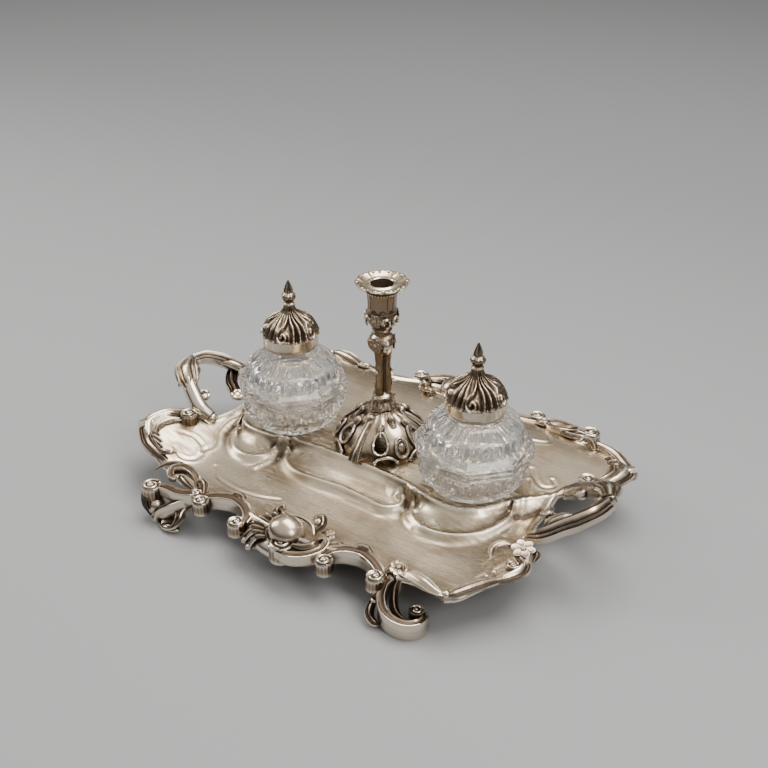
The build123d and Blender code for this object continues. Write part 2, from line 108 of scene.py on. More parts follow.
class Term:
    def __init__(self, tree, socket=None):
        self.tree, self.socket = tree, socket

    def node(self, kind, settings=None, inputs=None, output=0):
        made = self.tree.nodes.new(kind)
        for name, value in (settings or {}).items():
            if name == "stops":
                ramp = made.color_ramp.elements
                while len(ramp) < len(value):
                    ramp.new(0.5)
                for stop, (position, colour) in zip(ramp, value):
                    stop.position, stop.color = position, (*colour, 1)
            else:
                setattr(made, name, value)
        for key, value in (inputs or {}).items():
            if isinstance(value, Term):
                self.tree.links.new(value.socket, made.inputs[key])
            else:
                made.inputs[key].default_value = value
        return Term(self.tree, made.outputs[output])

    def math(self, operation, first, second=0.0):
        return self.node("ShaderNodeMath", {"operation": operation}, {0: first, 1: second})

    def __add__(self, other):
        return self.math("ADD", self, other)

    def __sub__(self, other):
        return self.math("SUBTRACT", self, other)

    def __mul__(self, other):
        return self.math("MULTIPLY", self, other)

    def __rsub__(self, other):
        return self.math("SUBTRACT", other, self)

    __radd__ = __add__
    __rmul__ = __mul__

    def step(self, low, high):
        """0 below low, 1 above high, and a smooth step between them."""
        return self.node("ShaderNodeMapRange", {"interpolation_type": "SMOOTHSTEP"},
                         {"Value": self, "From Min": low, "From Max": high})

    def noise(self, scale, detail=4.0, stretch=(1, 1, 1)):
        """Noise of this many cells a metre at this place, drawn out along the axes."""
        place = self.node("ShaderNodeMapping", None, {"Vector": self, "Scale": stretch})
        return self.node("ShaderNodeTexNoise", None, {"Vector": place, "Scale": scale, "Detail": detail})

    def mix(self, first, second):
        """The first colour where self is 0, the second where it is 1."""
        return self.node("ShaderNodeMix", {"data_type": "RGBA"}, {0: self, 6: first, 7: second}, 2)


def new_material(name):
    """A material with its Principled shader, and a Term to start expressions from."""
    material = bpy.data.materials.new(name)
    material.use_nodes = True
    return material, material.node_tree.nodes["Principled BSDF"], Term(material.node_tree)


def feed(term, shader, socket):
    term.tree.links.new(term.socket, shader.inputs[socket])

# %% [markdown]
# ## Silver
# Old silver is bright where hands and cloths rub it and brown where they can't reach. Each
# mesh carries a number per vertex, `recess`, that says how deep the vertex lies below its
# surroundings (positive) or how far it stands proud (negative). The colour follows it: brown
# patina in the hollows, and on proud places a lighter colour that is polished wear and a
# painted highlight. Painted shade turns it brown in the corners that Ambient Occlusion finds,
# and on upright walls in place of the dark surroundings that they mirror. Soft clouds of
# tarnish and fine polishing lines break up the rest.

# %% Silver finishes
# The first brown is painted shade on upright walls; the second is patina in the hollows together with
# painted shade in the corners.
WALL_SHADE_BROWN = (0.17, 0.115, 0.075, 1)
PATINA_AND_SHADE_BROWN = (0.055, 0.035, 0.022, 1)


def silver(name, bright, dull, recess_depth, streaks, roughness, wall_shade_amount):
    material, shader, start = new_material(name)
    place = start.node("ShaderNodeTexCoord", output=OBJECT)
    recess = start.node("ShaderNodeAttribute", {"attribute_name": "recess"}, output=NUMBER)
    shade = start.node("ShaderNodeAmbientOcclusion", {"samples": 8, "only_local": True},
                       {"Distance": 0.007}, output=OCCLUSION)
    clouds = place.noise(38.0, 5.0)
    mottle = place.noise(420.0, 3.0)
    lines = place.noise(260.0, 3.0, (0.09, 1.6, 1.0))
    hollow = (recess + (mottle - 0.5) * 0.25).step(0.02, recess_depth)
    # Painted shade: browner in the corners and between parts that ambient occlusion finds.
    corner = (1.0 - shade + (mottle - 0.5) * 0.2).step(0.08, 0.45)
    # Brown patina in the hollows together with that painted shade in the corners.
    patina_and_shade = hollow.math("MAXIMUM", hollow, corner)
    # Proud places get a lighter colour: polished wear and a painted highlight.
    proud = (recess * -1.0).step(0.05, recess_depth * 1.6)
    tarnish = (clouds + (lines - 0.5) * streaks).step(0.40, 0.72)
    facing = start.node("ShaderNodeSeparateXYZ", None,
                        {0: start.node("ShaderNodeNewGeometry", output=NORMAL)}, 2)
    # Painted shade: upright walls turn brown in place of the dark surroundings that they mirror.
    upright = (0.95 - facing + (mottle - 0.5) * 0.5).step(0.15, 0.85) * wall_shade_amount
    tarnish_and_wall_shade = upright.mix(tarnish.mix((*bright, 1), (*dull, 1)), WALL_SHADE_BROWN)
    wear_and_highlight = tuple(0.75 * part + 0.22 for part in bright)
    lifted = proud.mix(tarnish_and_wall_shade, (*wear_and_highlight, 1))
    patina_and_shade_colour = (patina_and_shade * 0.93).mix(lifted, PATINA_AND_SHADE_BROWN)
    feed(patina_and_shade_colour, shader, "Base Color")
    shader.inputs["Metallic"].default_value = 1.0
    gloss = roughness + tarnish * 0.10 + patina_and_shade * 0.28 + (lines - 0.5) * (0.25 * streaks)
    feed(gloss, shader, "Roughness")
    bump = start.node("ShaderNodeBump", None, {
        "Strength": 0.35, "Distance": 0.00018, "Height": lines * streaks + mottle * 0.5})
    feed(bump, shader, "Normal")
    return material


# The last number is how much painted shade the upright walls get.
sheet_silver = silver("sheet_silver", (0.72, 0.62, 0.47), (0.36, 0.275, 0.18), 0.7, 0.6, 0.25, 0.4)
cast_silver = silver("cast_silver", (0.70, 0.58, 0.43), (0.32, 0.23, 0.155), 0.28, 0.12, 0.20, 0.85)
lid_silver = silver("lid_silver", (0.72, 0.65, 0.53), (0.50, 0.42, 0.30), 0.5, 0.2, 0.18, 0.1)

# %% [markdown]
# ## Cut glass
# Lead crystal is clear and bends light strongly. What makes it sparkle is its shape, so the
# finish is nearly all clear glass, with a little haze and the faint waviness of hand polishing.

# %% Cut glass
def crystal():
    material, shader, start = new_material("cut_glass")
    shader.inputs["Transmission Weight"].default_value = 0.93
    shader.inputs["IOR"].default_value = 1.54
    place = start.node("ShaderNodeTexCoord", output=OBJECT)
    haze = place.noise(90.0, 3.0).step(0.45, 0.8)
    feed(haze.mix((1.0, 1.0, 1.0, 1), (0.97, 0.965, 0.955, 1)), shader, "Base Color")
    feed(0.004 + haze * 0.02, shader, "Roughness")
    wave = place.noise(140.0, 2.0)
    feed(start.node("ShaderNodeBump", None, {"Strength": 0.15, "Distance": 0.0003, "Height": wave}),
         shader, "Normal")
    return material


def brass_finish():
    material, shader, start = new_material("brass_nut")
    shader.inputs["Metallic"].default_value = 1.0
    place = start.node("ShaderNodeTexCoord", output=OBJECT)
    stain = place.noise(300.0, 4.0).step(0.35, 0.7)
    feed(stain.mix((0.72, 0.56, 0.28, 1), (0.38, 0.26, 0.12, 1)), shader, "Base Color")
    feed(0.25 + stain * 0.2, shader, "Roughness")
    return material


cut_glass = crystal()
brass_nut = brass_finish()
finishes = {"sheet_silver": sheet_silver, "cast_silver": cast_silver, "lid_silver": lid_silver,
            "cut_glass": cut_glass, "brass_nut": brass_nut}
print("finishes", sorted(finishes))

# %% [markdown]
# ## From a bmesh to a finished piece
# Every piece takes the same last steps: normals out, a mesh in the shared frame, smooth faces
# with sharp edges kept, the `recess` number, its material, its body and its CAD nodes.

# %% Finish a piece
def mark_recesses(mesh, rounds=14):
    """Store how far each vertex lies below a smoothed copy of the mesh, in millimetres."""
    count = len(mesh.vertices)
    places = np.empty(count * 3)
    mesh.vertices.foreach_get("co", places)
    places = places.reshape(-1, 3)
    normals = np.empty(count * 3, dtype=np.float32)
    mesh.vertex_normals.foreach_get("vector", normals)
    ends = np.empty(len(mesh.edges) * 2, dtype=np.int32)
    mesh.edges.foreach_get("vertices", ends)
    ends = ends.reshape(-1, 2)
    degree = np.bincount(ends.ravel(), minlength=count).clip(1)[:, None]

    def neighbours(values):
        total = np.zeros_like(values)
        np.add.at(total, ends[:, 0], values[ends[:, 1]])
        np.add.at(total, ends[:, 1], values[ends[:, 0]])
        return total / degree

    smooth = places.copy()
    for _ in range(rounds):
        smooth = 0.5 * (smooth + neighbours(smooth))
    depth = ((smooth - places) * normals.reshape(-1, 3)).sum(axis=1) / MM
    depth = 0.6 * depth + 0.4 * neighbours(depth[:, None])[:, 0]
    attribute = mesh.attributes.new("recess", "FLOAT", "POINT")
    attribute.data.foreach_set("value", depth.astype(np.float32))


def finish(name, shape, finish_name, body, nodes, sharp=38, recalculate=True, rounds=14):
    """Turn a bmesh, or a ready mesh, into a piece that rides on its body."""
    if isinstance(shape, bmesh.types.BMesh):
        if recalculate:
            bmesh.ops.remove_doubles(shape, verts=shape.verts, dist=1e-7)
            bmesh.ops.recalc_face_normals(shape, faces=shape.faces)
        mesh = bpy.data.meshes.new(name)
        shape.to_mesh(mesh)
        shape.free()
    else:
        mesh = shape
    mesh.polygons.foreach_set("use_smooth", [True] * len(mesh.polygons))
    mesh.set_sharp_from_angle(angle=radians(sharp))
    mark_recesses(mesh, rounds)
    mesh.materials.clear()
    mesh.materials.append(finishes[finish_name])
    piece = bpy.data.objects.new(name, mesh)
    bpy.context.collection.objects.link(piece)
    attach(piece, body)
    if nodes:
        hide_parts(*nodes)
    faces = sum(len(p.vertices) - 2 for p in mesh.polygons)
    print(f"{name}: {faces} triangles")
    return piece

# %% [markdown]
# ## Curves through a few points
# Old patterns are drawn with a few points and a flexible ruler. `through` is that ruler, a
# Catmull-Rom curve, and `arc` is a compass: the circle through three points.

# %% Curve helpers
def through(points, steps=8):
    """A smooth curve through the points, as an array, with this many steps a span."""
    p = np.array([points[0], *points, points[-1]], dtype=float)
    p[0], p[-1] = 2 * p[1] - p[2], 2 * p[-2] - p[-3]
    t = np.linspace(0, 1, steps, endpoint=False)[:, None]
    spans = []
    for a, b, c, d in zip(p, p[1:], p[2:], p[3:]):
        spans.append(0.5 * (2 * b + (c - a) * t + (2 * a - 5 * b + 4 * c - d) * t ** 2
                            + (3 * b - a - 3 * c + d) * t ** 3))
    return np.vstack([*spans, p[-2:-1]])


def arc(start, mid, end, steps):
    """Points on the circle through three plan points, without the last one."""
    (ax, ay), (bx, by), (cx, cy) = start, mid, end
    d = 2 * (ax * (by - cy) + bx * (cy - ay) + cx * (ay - by))
    a2, b2, c2 = ax * ax + ay * ay, bx * bx + by * by, cx * cx + cy * cy
    ox = (a2 * (by - cy) + b2 * (cy - ay) + c2 * (ay - by)) / d
    oy = (a2 * (cx - bx) + b2 * (ax - cx) + c2 * (bx - ax)) / d
    first, last = atan2(ay - oy, ax - ox), atan2(cy - oy, cx - ox)
    left_turn = (bx - ax) * (cy - ay) - (by - ay) * (cx - ax) > 0
    sweep = (last - first) % (2 * pi) if left_turn else -((first - last) % (2 * pi))
    radius = hypot(ax - ox, ay - oy)
    return [(ox + radius * cos(first + sweep * k / steps), oy + radius * sin(first + sweep * k / steps))
            for k in range(steps)]


def spiral(centre, start, turns, outer, inner, steps=14):
    """A volute in plan: from the outer radius at a start angle in degrees, inwards. Negative
    turns run clockwise."""
    count = max(4, int(abs(turns) * steps))
    points = []
    for k in range(count + 1):
        angle = radians(start) + 2 * pi * turns * k / count
        radius = outer + (inner - outer) * (k / count) ** 0.8
        points.append((centre[0] + radius * cos(angle), centre[1] + radius * sin(angle)))
    return points

# %% [markdown]
# ## Turned pieces
# Bottles, lids, stems and sockets were turned or blown, then cut or chased. So each starts
# as a profile of (radius, height) points spun about its axis, and the decoration is a change
# of radius over the turn and the height.

# %% Lathe
def lathe(profile, steps):
    """A closed profile, or one that starts and ends on the axis, spun into a solid. In mm."""
    bm = bmesh.new()
    points = [bm.verts.new((r, 0, z)) for r, z in profile]
    for first, second in zip(points, points[1:]):
        bm.edges.new((first, second))
    if profile[0][0] > 0.01:
        bm.edges.new((points[-1], points[0]))
    bmesh.ops.spin(bm, geom=bm.verts[:] + bm.edges[:], cent=(0, 0, 0), axis=(0, 0, 1),
                   angle=2 * pi, steps=steps, use_merge=True)
    bmesh.ops.remove_doubles(bm, verts=bm.verts, dist=1e-4)
    bmesh.ops.recalc_face_normals(bm, faces=bm.faces)
    return bm


def fine(points, gap):
    """The same straight-sided profile with extra points, no further apart than gap."""
    dense = []
    for (r0, z0), (r1, z1) in zip(points, points[1:]):
        count = max(1, int(hypot(r1 - r0, z1 - z0) / gap))
        dense += [(r0 + (r1 - r0) * k / count, z0 + (z1 - z0) * k / count) for k in range(count)]
    return dense + [points[-1]]


def carve(bm, change):
    """Move each vertex along its radius by change(turn, radius, height), arrays in mm, where
    turn is the angle in radians."""
    places = np.array([v.co[:] for v in bm.verts])
    turn = np.arctan2(places[:, 1], places[:, 0])
    radius = np.hypot(places[:, 0], places[:, 1])
    grown = radius + change(turn, radius, places[:, 2])
    scale = np.where(radius > 1e-6, grown / np.maximum(radius, 1e-6), 1.0)
    for vert, factor in zip(bm.verts, scale):
        vert.co.x *= factor
        vert.co.y *= factor


def emboss(bm, change):
    """Move each vertex along its normal by change(turn, radius, height), in mm."""
    bm.normal_update()
    places = np.array([v.co[:] for v in bm.verts])
    rise = change(np.arctan2(places[:, 1], places[:, 0]), np.hypot(places[:, 0], places[:, 1]),
                  places[:, 2])
    for vert, normal, amount in zip(bm.verts, [v.normal.copy() for v in bm.verts], rise):
        vert.co += normal * float(amount)


def stand_at(bm, axis, base):
    """Scale a piece made in mm about the origin to metres, and stand it at its place."""
    bmesh.ops.scale(bm, vec=(MM, MM, MM), verts=bm.verts)
    bmesh.ops.translate(bm, vec=(axis[0], axis[1], base), verts=bm.verts)


def zigzag(values):
    """A triangle wave of period 1 that runs from 0 in the groove to 1 on the ridge."""
    return np.abs((values % 1.0) * 2 - 1)

# %% [markdown]
# ## The tray
# The real tray is one sheet of silver, stamped in a die: a pen trough along the front, three
# coves that lead up from it to a platform, and ends that flare up to the rim. Stamped relief
# is a height over the plan, so the mesh is a disc that is stretched to the rim's outline and
# then lifted point by point. The disc is the outline of a thin wall spun all the way round,
# so the sheet has its underside and its thickness from the start.

# %% The rim's outline
def rim_outline(count):
    """The rim in plan, in mm, evenly spaced: cusps joined by arcs, half of them given and the
    other half turned round."""
    half = [((30, -92), (51, -85), (72, -92)), ((72, -92), (87, -88), (102, -93)),
            ((102, -93), (109, -80), (118, -66)), ((118, -66), (127, -48), (119, -31)),
            ((119, -31), (113, 0), (119, 31)), ((119, 31), (137, 43), (140, 60)),
            ((140, 60), (123, 75), (102, 80)), ((102, 80), (87, 87), (72, 92)),
            ((72, 92), (51, 85), (30, 92)), ((30, 92), (0, 97), (-30, 92))]
    arcs = half + [tuple((-x, -y) for x, y in piece) for piece in half]
    lengths = [hypot(m[0] - s[0], m[1] - s[1]) + hypot(e[0] - m[0], e[1] - m[1]) for s, m, e in arcs]
    shares = np.floor(np.array(lengths) / sum(lengths) * count).astype(int)
    shares[:count - shares.sum()] += 1
    points = []
    for piece, share in zip(arcs, shares):
        points += arc(*piece, int(share))
    return np.array(points)

# %% Relief of the tray
platform_edge = through([(-140, 26), (-112, 14), (-99, -4), (-96, -16), (-86, -24), (-68, -25),
                         (-52, -21), (-30, -19.5), (0, -19), (20, -20.5), (34, -22), (48, -26),
                         (66, -28), (80, -22), (90, -10), (97, -1), (112, 14), (140, 26)], 12)
cove_edges = [
    through([(-97, -14), (-94, -28), (-84, -39), (-72, -42), (-64, -37), (-61, -27)], 12),
    through([(-53, -24), (-47, -33), (-36, -39), (-18, -39), (0, -37.5), (18, -39), (29, -40),
             (36, -34), (35, -26)], 12),
    through([(43, -29), (47, -37), (58, -43.5), (70, -43), (82, -37), (91, -27), (96, -13),
             (95, -4)], 12)]
chased_scrolls = [(through([(-62, -46), (-58, -34), (-60, -22), (-56, -16.5), (-51, -19), (-53, -25),
                            (-56, -22)], 8), 0.9, 1.5), (through([(-61, -27), (-57, -24)], 6), 0.6, 1.4),
                  (through([(35, -26), (31, -24), (30, -29), (33, -31)], 8), 1.0, 1.3),
                  (through([(43, -29), (46, -26), (49, -29), (47, -33)], 8), 0.9, 1.3),
                  (through([(40, -23), (39, -32), (45, -41), (52, -45)], 8), 0.7, 1.4),
                  (through([(95, -4), (91, 1), (86, -2), (89, -6)], 8), 1.0, 1.4),
                  (through([(100, -24), (102, -10), (99, 2), (92, 6)], 8), 0.6, 1.5)]
chased_lines = [
    through([(-84, -58), (-74, -67), (-58, -70.5), (-42, -69), (-28, -64)], 8),
    through([(-102, 2), (-108, -14), (-106, -30), (-99, -42), (-100, -52)], 8),
    through([(-114, -62), (-105, -66), (-98, -60), (-101, -50), (-112, -46), (-121, -50)], 8),
    through([(88, 34), (94, 26), (102, 20), (108, 24), (104, 30)], 8),
    through([(92, 22), (97, 12), (103, 8), (106, 13)], 8),
    through([(106, -66), (112, -56), (117, -46), (113, -38), (106, -44), (104, -54)], 8),
    through([(109, -58), (108, -50), (111, -45)], 8),
    through([(-108, 30), (-100, 22), (-96, 30), (-104, 38)], 8),
    through([(60, 70), (72, 62), (84, 66), (80, 74)], 8)]


def distance(curve, x, y):
    """The distance from each plan point to the nearest of a curve's points."""
    best = np.full(x.shape, 1e9)
    for a, b in zip(curve[:-1], curve[1:]):
        dx, dy = b - a
        t = np.clip(((x - a[0]) * dx + (y - a[1]) * dy) / (dx * dx + dy * dy), 0, 1)
        best = np.minimum(best, (x - a[0] - t * dx) ** 2 + (y - a[1] - t * dy) ** 2)
    return np.sqrt(best)


def inside(curve, x, y):
    """True inside the closed curve, by counting the crossings of a ray."""
    crossings = np.zeros(x.shape, dtype=bool)
    closed = np.vstack([curve, curve[:1]])
    for (ax, ay), (bx, by) in zip(closed[:-1], closed[1:]):
        if ay != by:
            crossings ^= ((ay > y) != (by > y)) & (x < (bx - ax) * (y - ay) / (by - ay) + ax)
    return crossings


def smooth_step(values, low, high):
    t = np.clip((values - low) / (high - low), 0, 1)
    return t * t * (3 - 2 * t)


def bump(values, width):
    return np.exp(-(values / width) ** 2)


def tray_height(x, y, rho):
    """Height of the sheet's face in mm over a plan point. rho runs from 0 to 1 at the rim."""
    trough, table = 18.0, platform / MM
    ends = trough + np.maximum(np.abs(x) - 78, 0) ** 2 / 236
    front = trough + np.maximum(-y - 62, 0) ** 2 / 150
    sunk = np.log(np.exp(ends / 2.2) + np.exp(front / 2.2)) * 2.2 - 2.2 * np.log(2) * np.exp(
        -((ends - front) / 3) ** 2)
    back = table - np.maximum(y - 56, 0) ** 2 / 300
    raised = np.maximum(back, ends)
    edge_y = np.interp(x, platform_edge[:, 0], platform_edge[:, 1])
    gap = distance(platform_edge, x, y)
    signed = np.where(y > edge_y, -gap, gap)
    wall = 1 - smooth_step(signed, 0.0, 7.0)
    height = sunk + (raised - sunk) * wall
    for curve in cove_edges:
        chord = np.vstack([curve, [(curve[-1][0], edge_y.max()), (curve[0][0], edge_y.max())]])
        within = inside(chord, x, y) & (signed > 0)
        outer = distance(curve, x, y)
        share = np.clip(gap / (gap + outer + 1e-6), 0, 1)
        lip = sunk + 3.6
        cove = lip + (raised - lip) * (1 - share) ** 2.4
        height = np.where(within, cove, height)
        fall = (~within) & (signed > 0)
        height = np.where(fall, np.maximum(height, sunk + (3.6 + 0.9) * np.exp(-(outer / 3.2) ** 1.6)),
                          height)
        height = height + 0.9 * bump(outer, 1.3) * within
    height = height + 1.0 * bump(signed + 0.9, 1.7)
    for curve, rise, width in chased_scrolls:
        height = height + rise * bump(distance(curve, x, y), width)
    for curve in chased_lines:
        line = distance(curve, x, y)
        height = height - 0.45 * bump(line, 0.9) + 0.2 * bump(line - 2.0, 1.2)
    height = height + 1.3 * smooth_step(rho, 0.955, 0.985) - 2.2 * smooth_step(rho, 0.985, 1.0)
    return height


# %% Stamp the tray
def make_tray():
    """The sheet is first spun as a flat disc 100 in radius, in mm, and then stamped."""
    steps = 600
    disc = lathe(fine([(0, -1.4), (100, -1.4)], 4.5) + fine([(100, 0), (0, 0)], 0.85), steps)
    places = np.array([v.co[:] for v in disc.verts])
    rho = np.hypot(places[:, 0], places[:, 1]) / 100
    turn = np.arctan2(places[:, 1], places[:, 0]) / (2 * pi) * steps
    rim = rim_outline(steps)[np.round(turn).astype(int) % steps]
    x, y = rho * rim[:, 0], rho * rim[:, 1]
    z = tray_height(x, y, rho) + places[:, 2]
    for vert, place in zip(disc.verts, np.stack([x, y, z], axis=1) * MM):
        vert.co = place
    return finish("tray_sheet", disc, "sheet_silver", "stand", ["tray"], sharp=60)


make_tray()

# %% [markdown]
# ## The bottles
# A cutter starts from a thick blown blank and grinds flats and V-grooves into it against
# wheels. From the foot up, these have fans of mitre cuts with a polished thumbprint on each
# of eight sides, a ring of steps round the widest tier, a band of upright mitres on the
# tier above, and flat facets up to the neck.

# %% Cut-glass bottles
SIDES = 8


def bottle_cuts(neck_lift):
    def change(turn, radius, z):
        outer = radius > np.interp(z, [0, 8, 12, 24, 37, 47, 80], [0, 0, 24, 30, 25, 14, 14])
        side = (turn / (2 * pi) * SIDES) % 1.0 - 0.5
        off_ridge = np.abs(side) * 2 * pi / SIDES
        flat = cos(pi / SIDES) / np.cos(pi / SIDES - off_ridge) - 1
        tier = smooth_step(z, 14, 24) * (1 - smooth_step(z, 35, 37))
        crown = smooth_step(z, 43, 45) * (1 - smooth_step(z, 50, 51.5))
        cut = radius * flat * (0.95 * tier + 1.0 * crown)
        steps = (z > 23.2) * (z < 32.4)
        cut = cut - 1.5 * zigzag((z - 23.2) / 3.1) * steps
        mitres = smooth_step(z, 35.6, 36.4) * (1 - smooth_step(z, 43.2, 44.0))
        cut = cut - 1.9 * zigzag(turn / (2 * pi) * SIDES * 4) * mitres
        along = side * 2 * pi / SIDES * radius
        fan = np.arctan2(along, z + 9.0)
        low = smooth_step(z, 2.2, 3.4) * (1 - smooth_step(z, 22.4, 23.2))
        cut = cut - 1.6 * zigzag(fan * 4.5) * low * smooth_step(np.abs(z - 14), 0.4, 1.2)
        cut = cut - 1.3 * zigzag(np.hypot(along * 1.2, z - 20.5) / 3.2) * smooth_step(z, 14,
                15) * (z < 22.6)
        print_depth = np.clip(1 - (along / 3.4) ** 2 - ((z - 9.0) / 4.4) ** 2, 0, 1)
        cut = cut * (1 - smooth_step(print_depth, 0.0, 0.15)) - 1.7 * np.sqrt(print_depth)
        square = (np.abs(along) < 1.5) * (np.abs(z - 3.0) < 1.0)
        return np.where(outer, cut - 0.8 * square, 0)

    outside = fine([(0, 0.6), (15, 0.6), (17, 0), (19, 0), (20.5, 1.6), (24, 3.4), (27.5, 6.6),
                    (30.5, 10.5), (32.6, 15), (34.3, 20), (35.4, 24.5), (36.0, 29.0), (36.0, 32.0),
                    (34.8, 33.6), (30.4, 35.6), (29.2, 37), (28.9, 40), (28.2, 43.6), (25.0, 46.6),
                    (21.2, 49.4), (18.2, 51.2)], 0.6)
    top = 59.0 + neck_lift
    neck = fine([(18.2, 51.2), (16.6, 51.7), (16.1, 52.2 + neck_lift), (15.0, 52.4 + neck_lift)], 1.0)
    lip = [(14.9, top - 0.6), (14.5, top), (13.4, top), (13.0, top - 0.6)]
    inside_wall = fine([(13.0, top - 2), (13.0, 49), (14.5, 46), (18, 43.5), (22.5, 38.5), (25.5, 32),
                        (26.8, 25), (26.4, 18), (24.2, 13), (20, 9.6), (14, 8.2), (0, 8.0)], 2.2)
    shape = lathe(outside[:-1] + neck[:-1] + lip + inside_wall, SIDES * 36)
    carve(shape, change)
    return shape


for side, axis in inkwells.items():
    neck_lift = 4.0 if side == "left" else 0.0
    shape = bottle_cuts(neck_lift)
    stand_at(shape, axis, seat_level)
    finish(f"{side}_cut_bottle", shape, "cut_glass", f"{side}_bottle", [f"{side}_bottle"], sharp=13,
           rounds=1)

# %% [markdown]
# ## Neck mounts and lids
# A silver collar is cemented to each glass neck. The lid slips over it: a plain band, and on
# the band a cast dome whose flutes swirl down from the finial and curl up into volutes. The
# flutes are ridges along curves drawn on one fifth of the dome, with u across and v down.

# %% Plain bands
for side, axis in inkwells.items():
    low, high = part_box(f"{side}_neck_mount")
    tall = (high[2] - low[2]) / MM
    mount = lathe(fine([(15.0, 0), (16.9, 0), (17.25, 0.35), (17.3, 0.7), (17.1, 1.05), (16.6, 1.2),
                        (15.75, 1.2), (15.7, tall - 0.3), (15.5, tall), (15.0, tall)], 1.2), 128)
    stand_at(mount, axis, low[2])
    finish(f"{side}_collar", mount, "lid_silver", f"{side}_bottle", [f"{side}_neck_mount"], rounds=2)
    low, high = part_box(f"{side}_lid_band")
    tall = (high[2] - low[2]) / MM
    band = lathe(fine([(16.05, 0), (16.9, 0), (17.2, 0.25), (17.25, 0.6), (17.05, 0.95), (17.1, 1.4),
                       (17.2, tall), (16.05, tall)], 0.8), 160)
    carve(band, lambda turn, radius, z: 0.07 * np.sin(5 * turn + 1) * (radius > 16.5) * np.sin(z * 0.8))
    stand_at(band, axis, low[2])
    finish(f"{side}_band", band, "lid_silver", f"{side}_lid", [f"{side}_lid_band"], rounds=3)

# %% Swirled domes
FLUTES = 5
dome_ridges = [(through([(0.10, -0.05), (0.11, 0.30), (0.03, 0.50), (-0.10, 0.62), (-0.14, 0.80),
                         (-0.03, 0.95), (0.10, 0.90), (0.12, 0.77), (0.03, 0.70), (-0.03, 0.79)], 9), 1.4),
               *[(through([(u - 0.16, -0.05), (u - 0.12, 0.25), (u + 0.02, 0.55), (u, 0.97)], 16), 1.5)
                 for u in (0.36, 0.56, 0.76)]]


def dome_relief(tall, shell):
    heights = [z for r, z in reversed(shell)]
    radii = [r for r, z in reversed(shell)]

    def change(turn, radius, z):
        outside = radius > np.interp(z, heights, radii) - 0.3
        down = 1 - z / tall
        u = (turn / (2 * pi) * FLUTES) % 1.0
        width = 2 * pi * radius / FLUTES
        relief = np.zeros(turn.shape)
        for curve, thick in dome_ridges:
            best = np.full(turn.shape, 1e9)
            for cu, cv in curve:
                across = (u - cu + 0.5) % 1.0 - 0.5
                best = np.minimum(best, np.hypot(across * width, (down - cv) * tall * 1.15))
            slim = thick * np.clip(radius / 13, 0.3, 1.0)
            relief = np.maximum(relief, np.clip(radius / 11, 0.25, 1.0) * bump(best, slim))
        edge = smooth_step(down, 0.93, 1.0) * 0.5 * np.cos(2 * pi * (u * 3))
        return (2.5 * relief - 1.7 * np.clip(radius / 9, 0.25, 1.0) + edge) * outside
    return change


for side, axis in inkwells.items():
    low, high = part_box(f"{side}_lid_dome")
    tall = (high[2] - low[2]) / MM
    outer = (high[0] - low[0]) / 2 / MM
    shell = [(3.3, tall), (3.5, tall - 1.6), (4.1, tall - 3.6), (5.3, tall - 5.4), (7.4, tall - 7.2),
             (10.1, tall - 8.9), (12.8, tall - 10.9), (14.9, tall - 13.2), (16.2, tall - 15.8),
             (outer - 0.6, tall - 18.4), (outer - 0.4, 0.8), (outer - 0.9, 0.0)]
    lining = fine([(16.1, 0), (14.5, tall - 16.0), (11.9, tall - 13.0), (8.2, tall - 10.4),
                   (3.4, tall - 7.4), (1.7, tall - 6.4)], 2.5)
    dome = lathe(fine([(1.7, tall), *shell], 0.42) + lining, 300)
    emboss(dome, dome_relief(tall, shell))
    stand_at(dome, axis, low[2])
    finish(f"{side}_dome", dome, "cast_silver", f"{side}_lid", [f"{side}_lid_dome"], sharp=70, rounds=10)

# %% Bud finials and their nuts
for side, axis in inkwells.items():
    low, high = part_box(f"{side}_finial")
    tall = (high[2] - low[2]) / MM
    crown = tall - 16.0
    bud = lathe(fine([(0, 0), (1.45, 0), (1.45, crown - 0.1), (3.4, crown - 0.1), (3.5, crown + 0.4),
                      (2.7, crown + 1.2), (2.9, crown + 2.0), (4.0, crown + 3.2), (4.6, crown + 4.6),
                      (4.3, crown + 6.0), (3.2, crown + 7.2), (2.5, crown + 7.7), (3.1, crown + 8.4),
                      (3.0, crown + 9.2), (2.2, crown + 11.5), (1.1, crown + 14), (0.25, tall - 0.1),
                      (0, tall)], 0.4), 96)

    def bud_beads(turn, radius, z):
        cup = bump(z - (crown + 4.6), 2.4)
        flame = smooth_step(z, crown + 7.8, crown + 9.0)
        return -0.75 * cup * (1
                              - np.abs(np.sin(4 * turn))) - 0.22 * radius * flame * np.abs(np.cos(3 * turn
                + z * 0.12))

    carve(bud, bud_beads)
    stand_at(bud, axis, low[2])
    finish(f"{side}_bud", bud, "cast_silver", f"{side}_lid", [f"{side}_finial"], sharp=50, rounds=8)
    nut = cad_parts[f"{side}_finial_nut"]
    nut.data.materials.clear()
    nut.data.materials.append(brass_nut)

# %% [markdown]
# ## The taperstick
# A small cast candlestick for melting sealing wax. The base is a pierced bell: a thin shell
# spun from one line, with its ovals and arches cut out, then thickened. The line of each
# hole is a cast bead, which also gives the hole a clean edge.

# %% Bars that follow a path
def outline_round(radius, sides=12):
    return [(radius * cos(2 * pi * k / sides), radius * sin(2 * pi * k / sides)) for k in range(sides)]


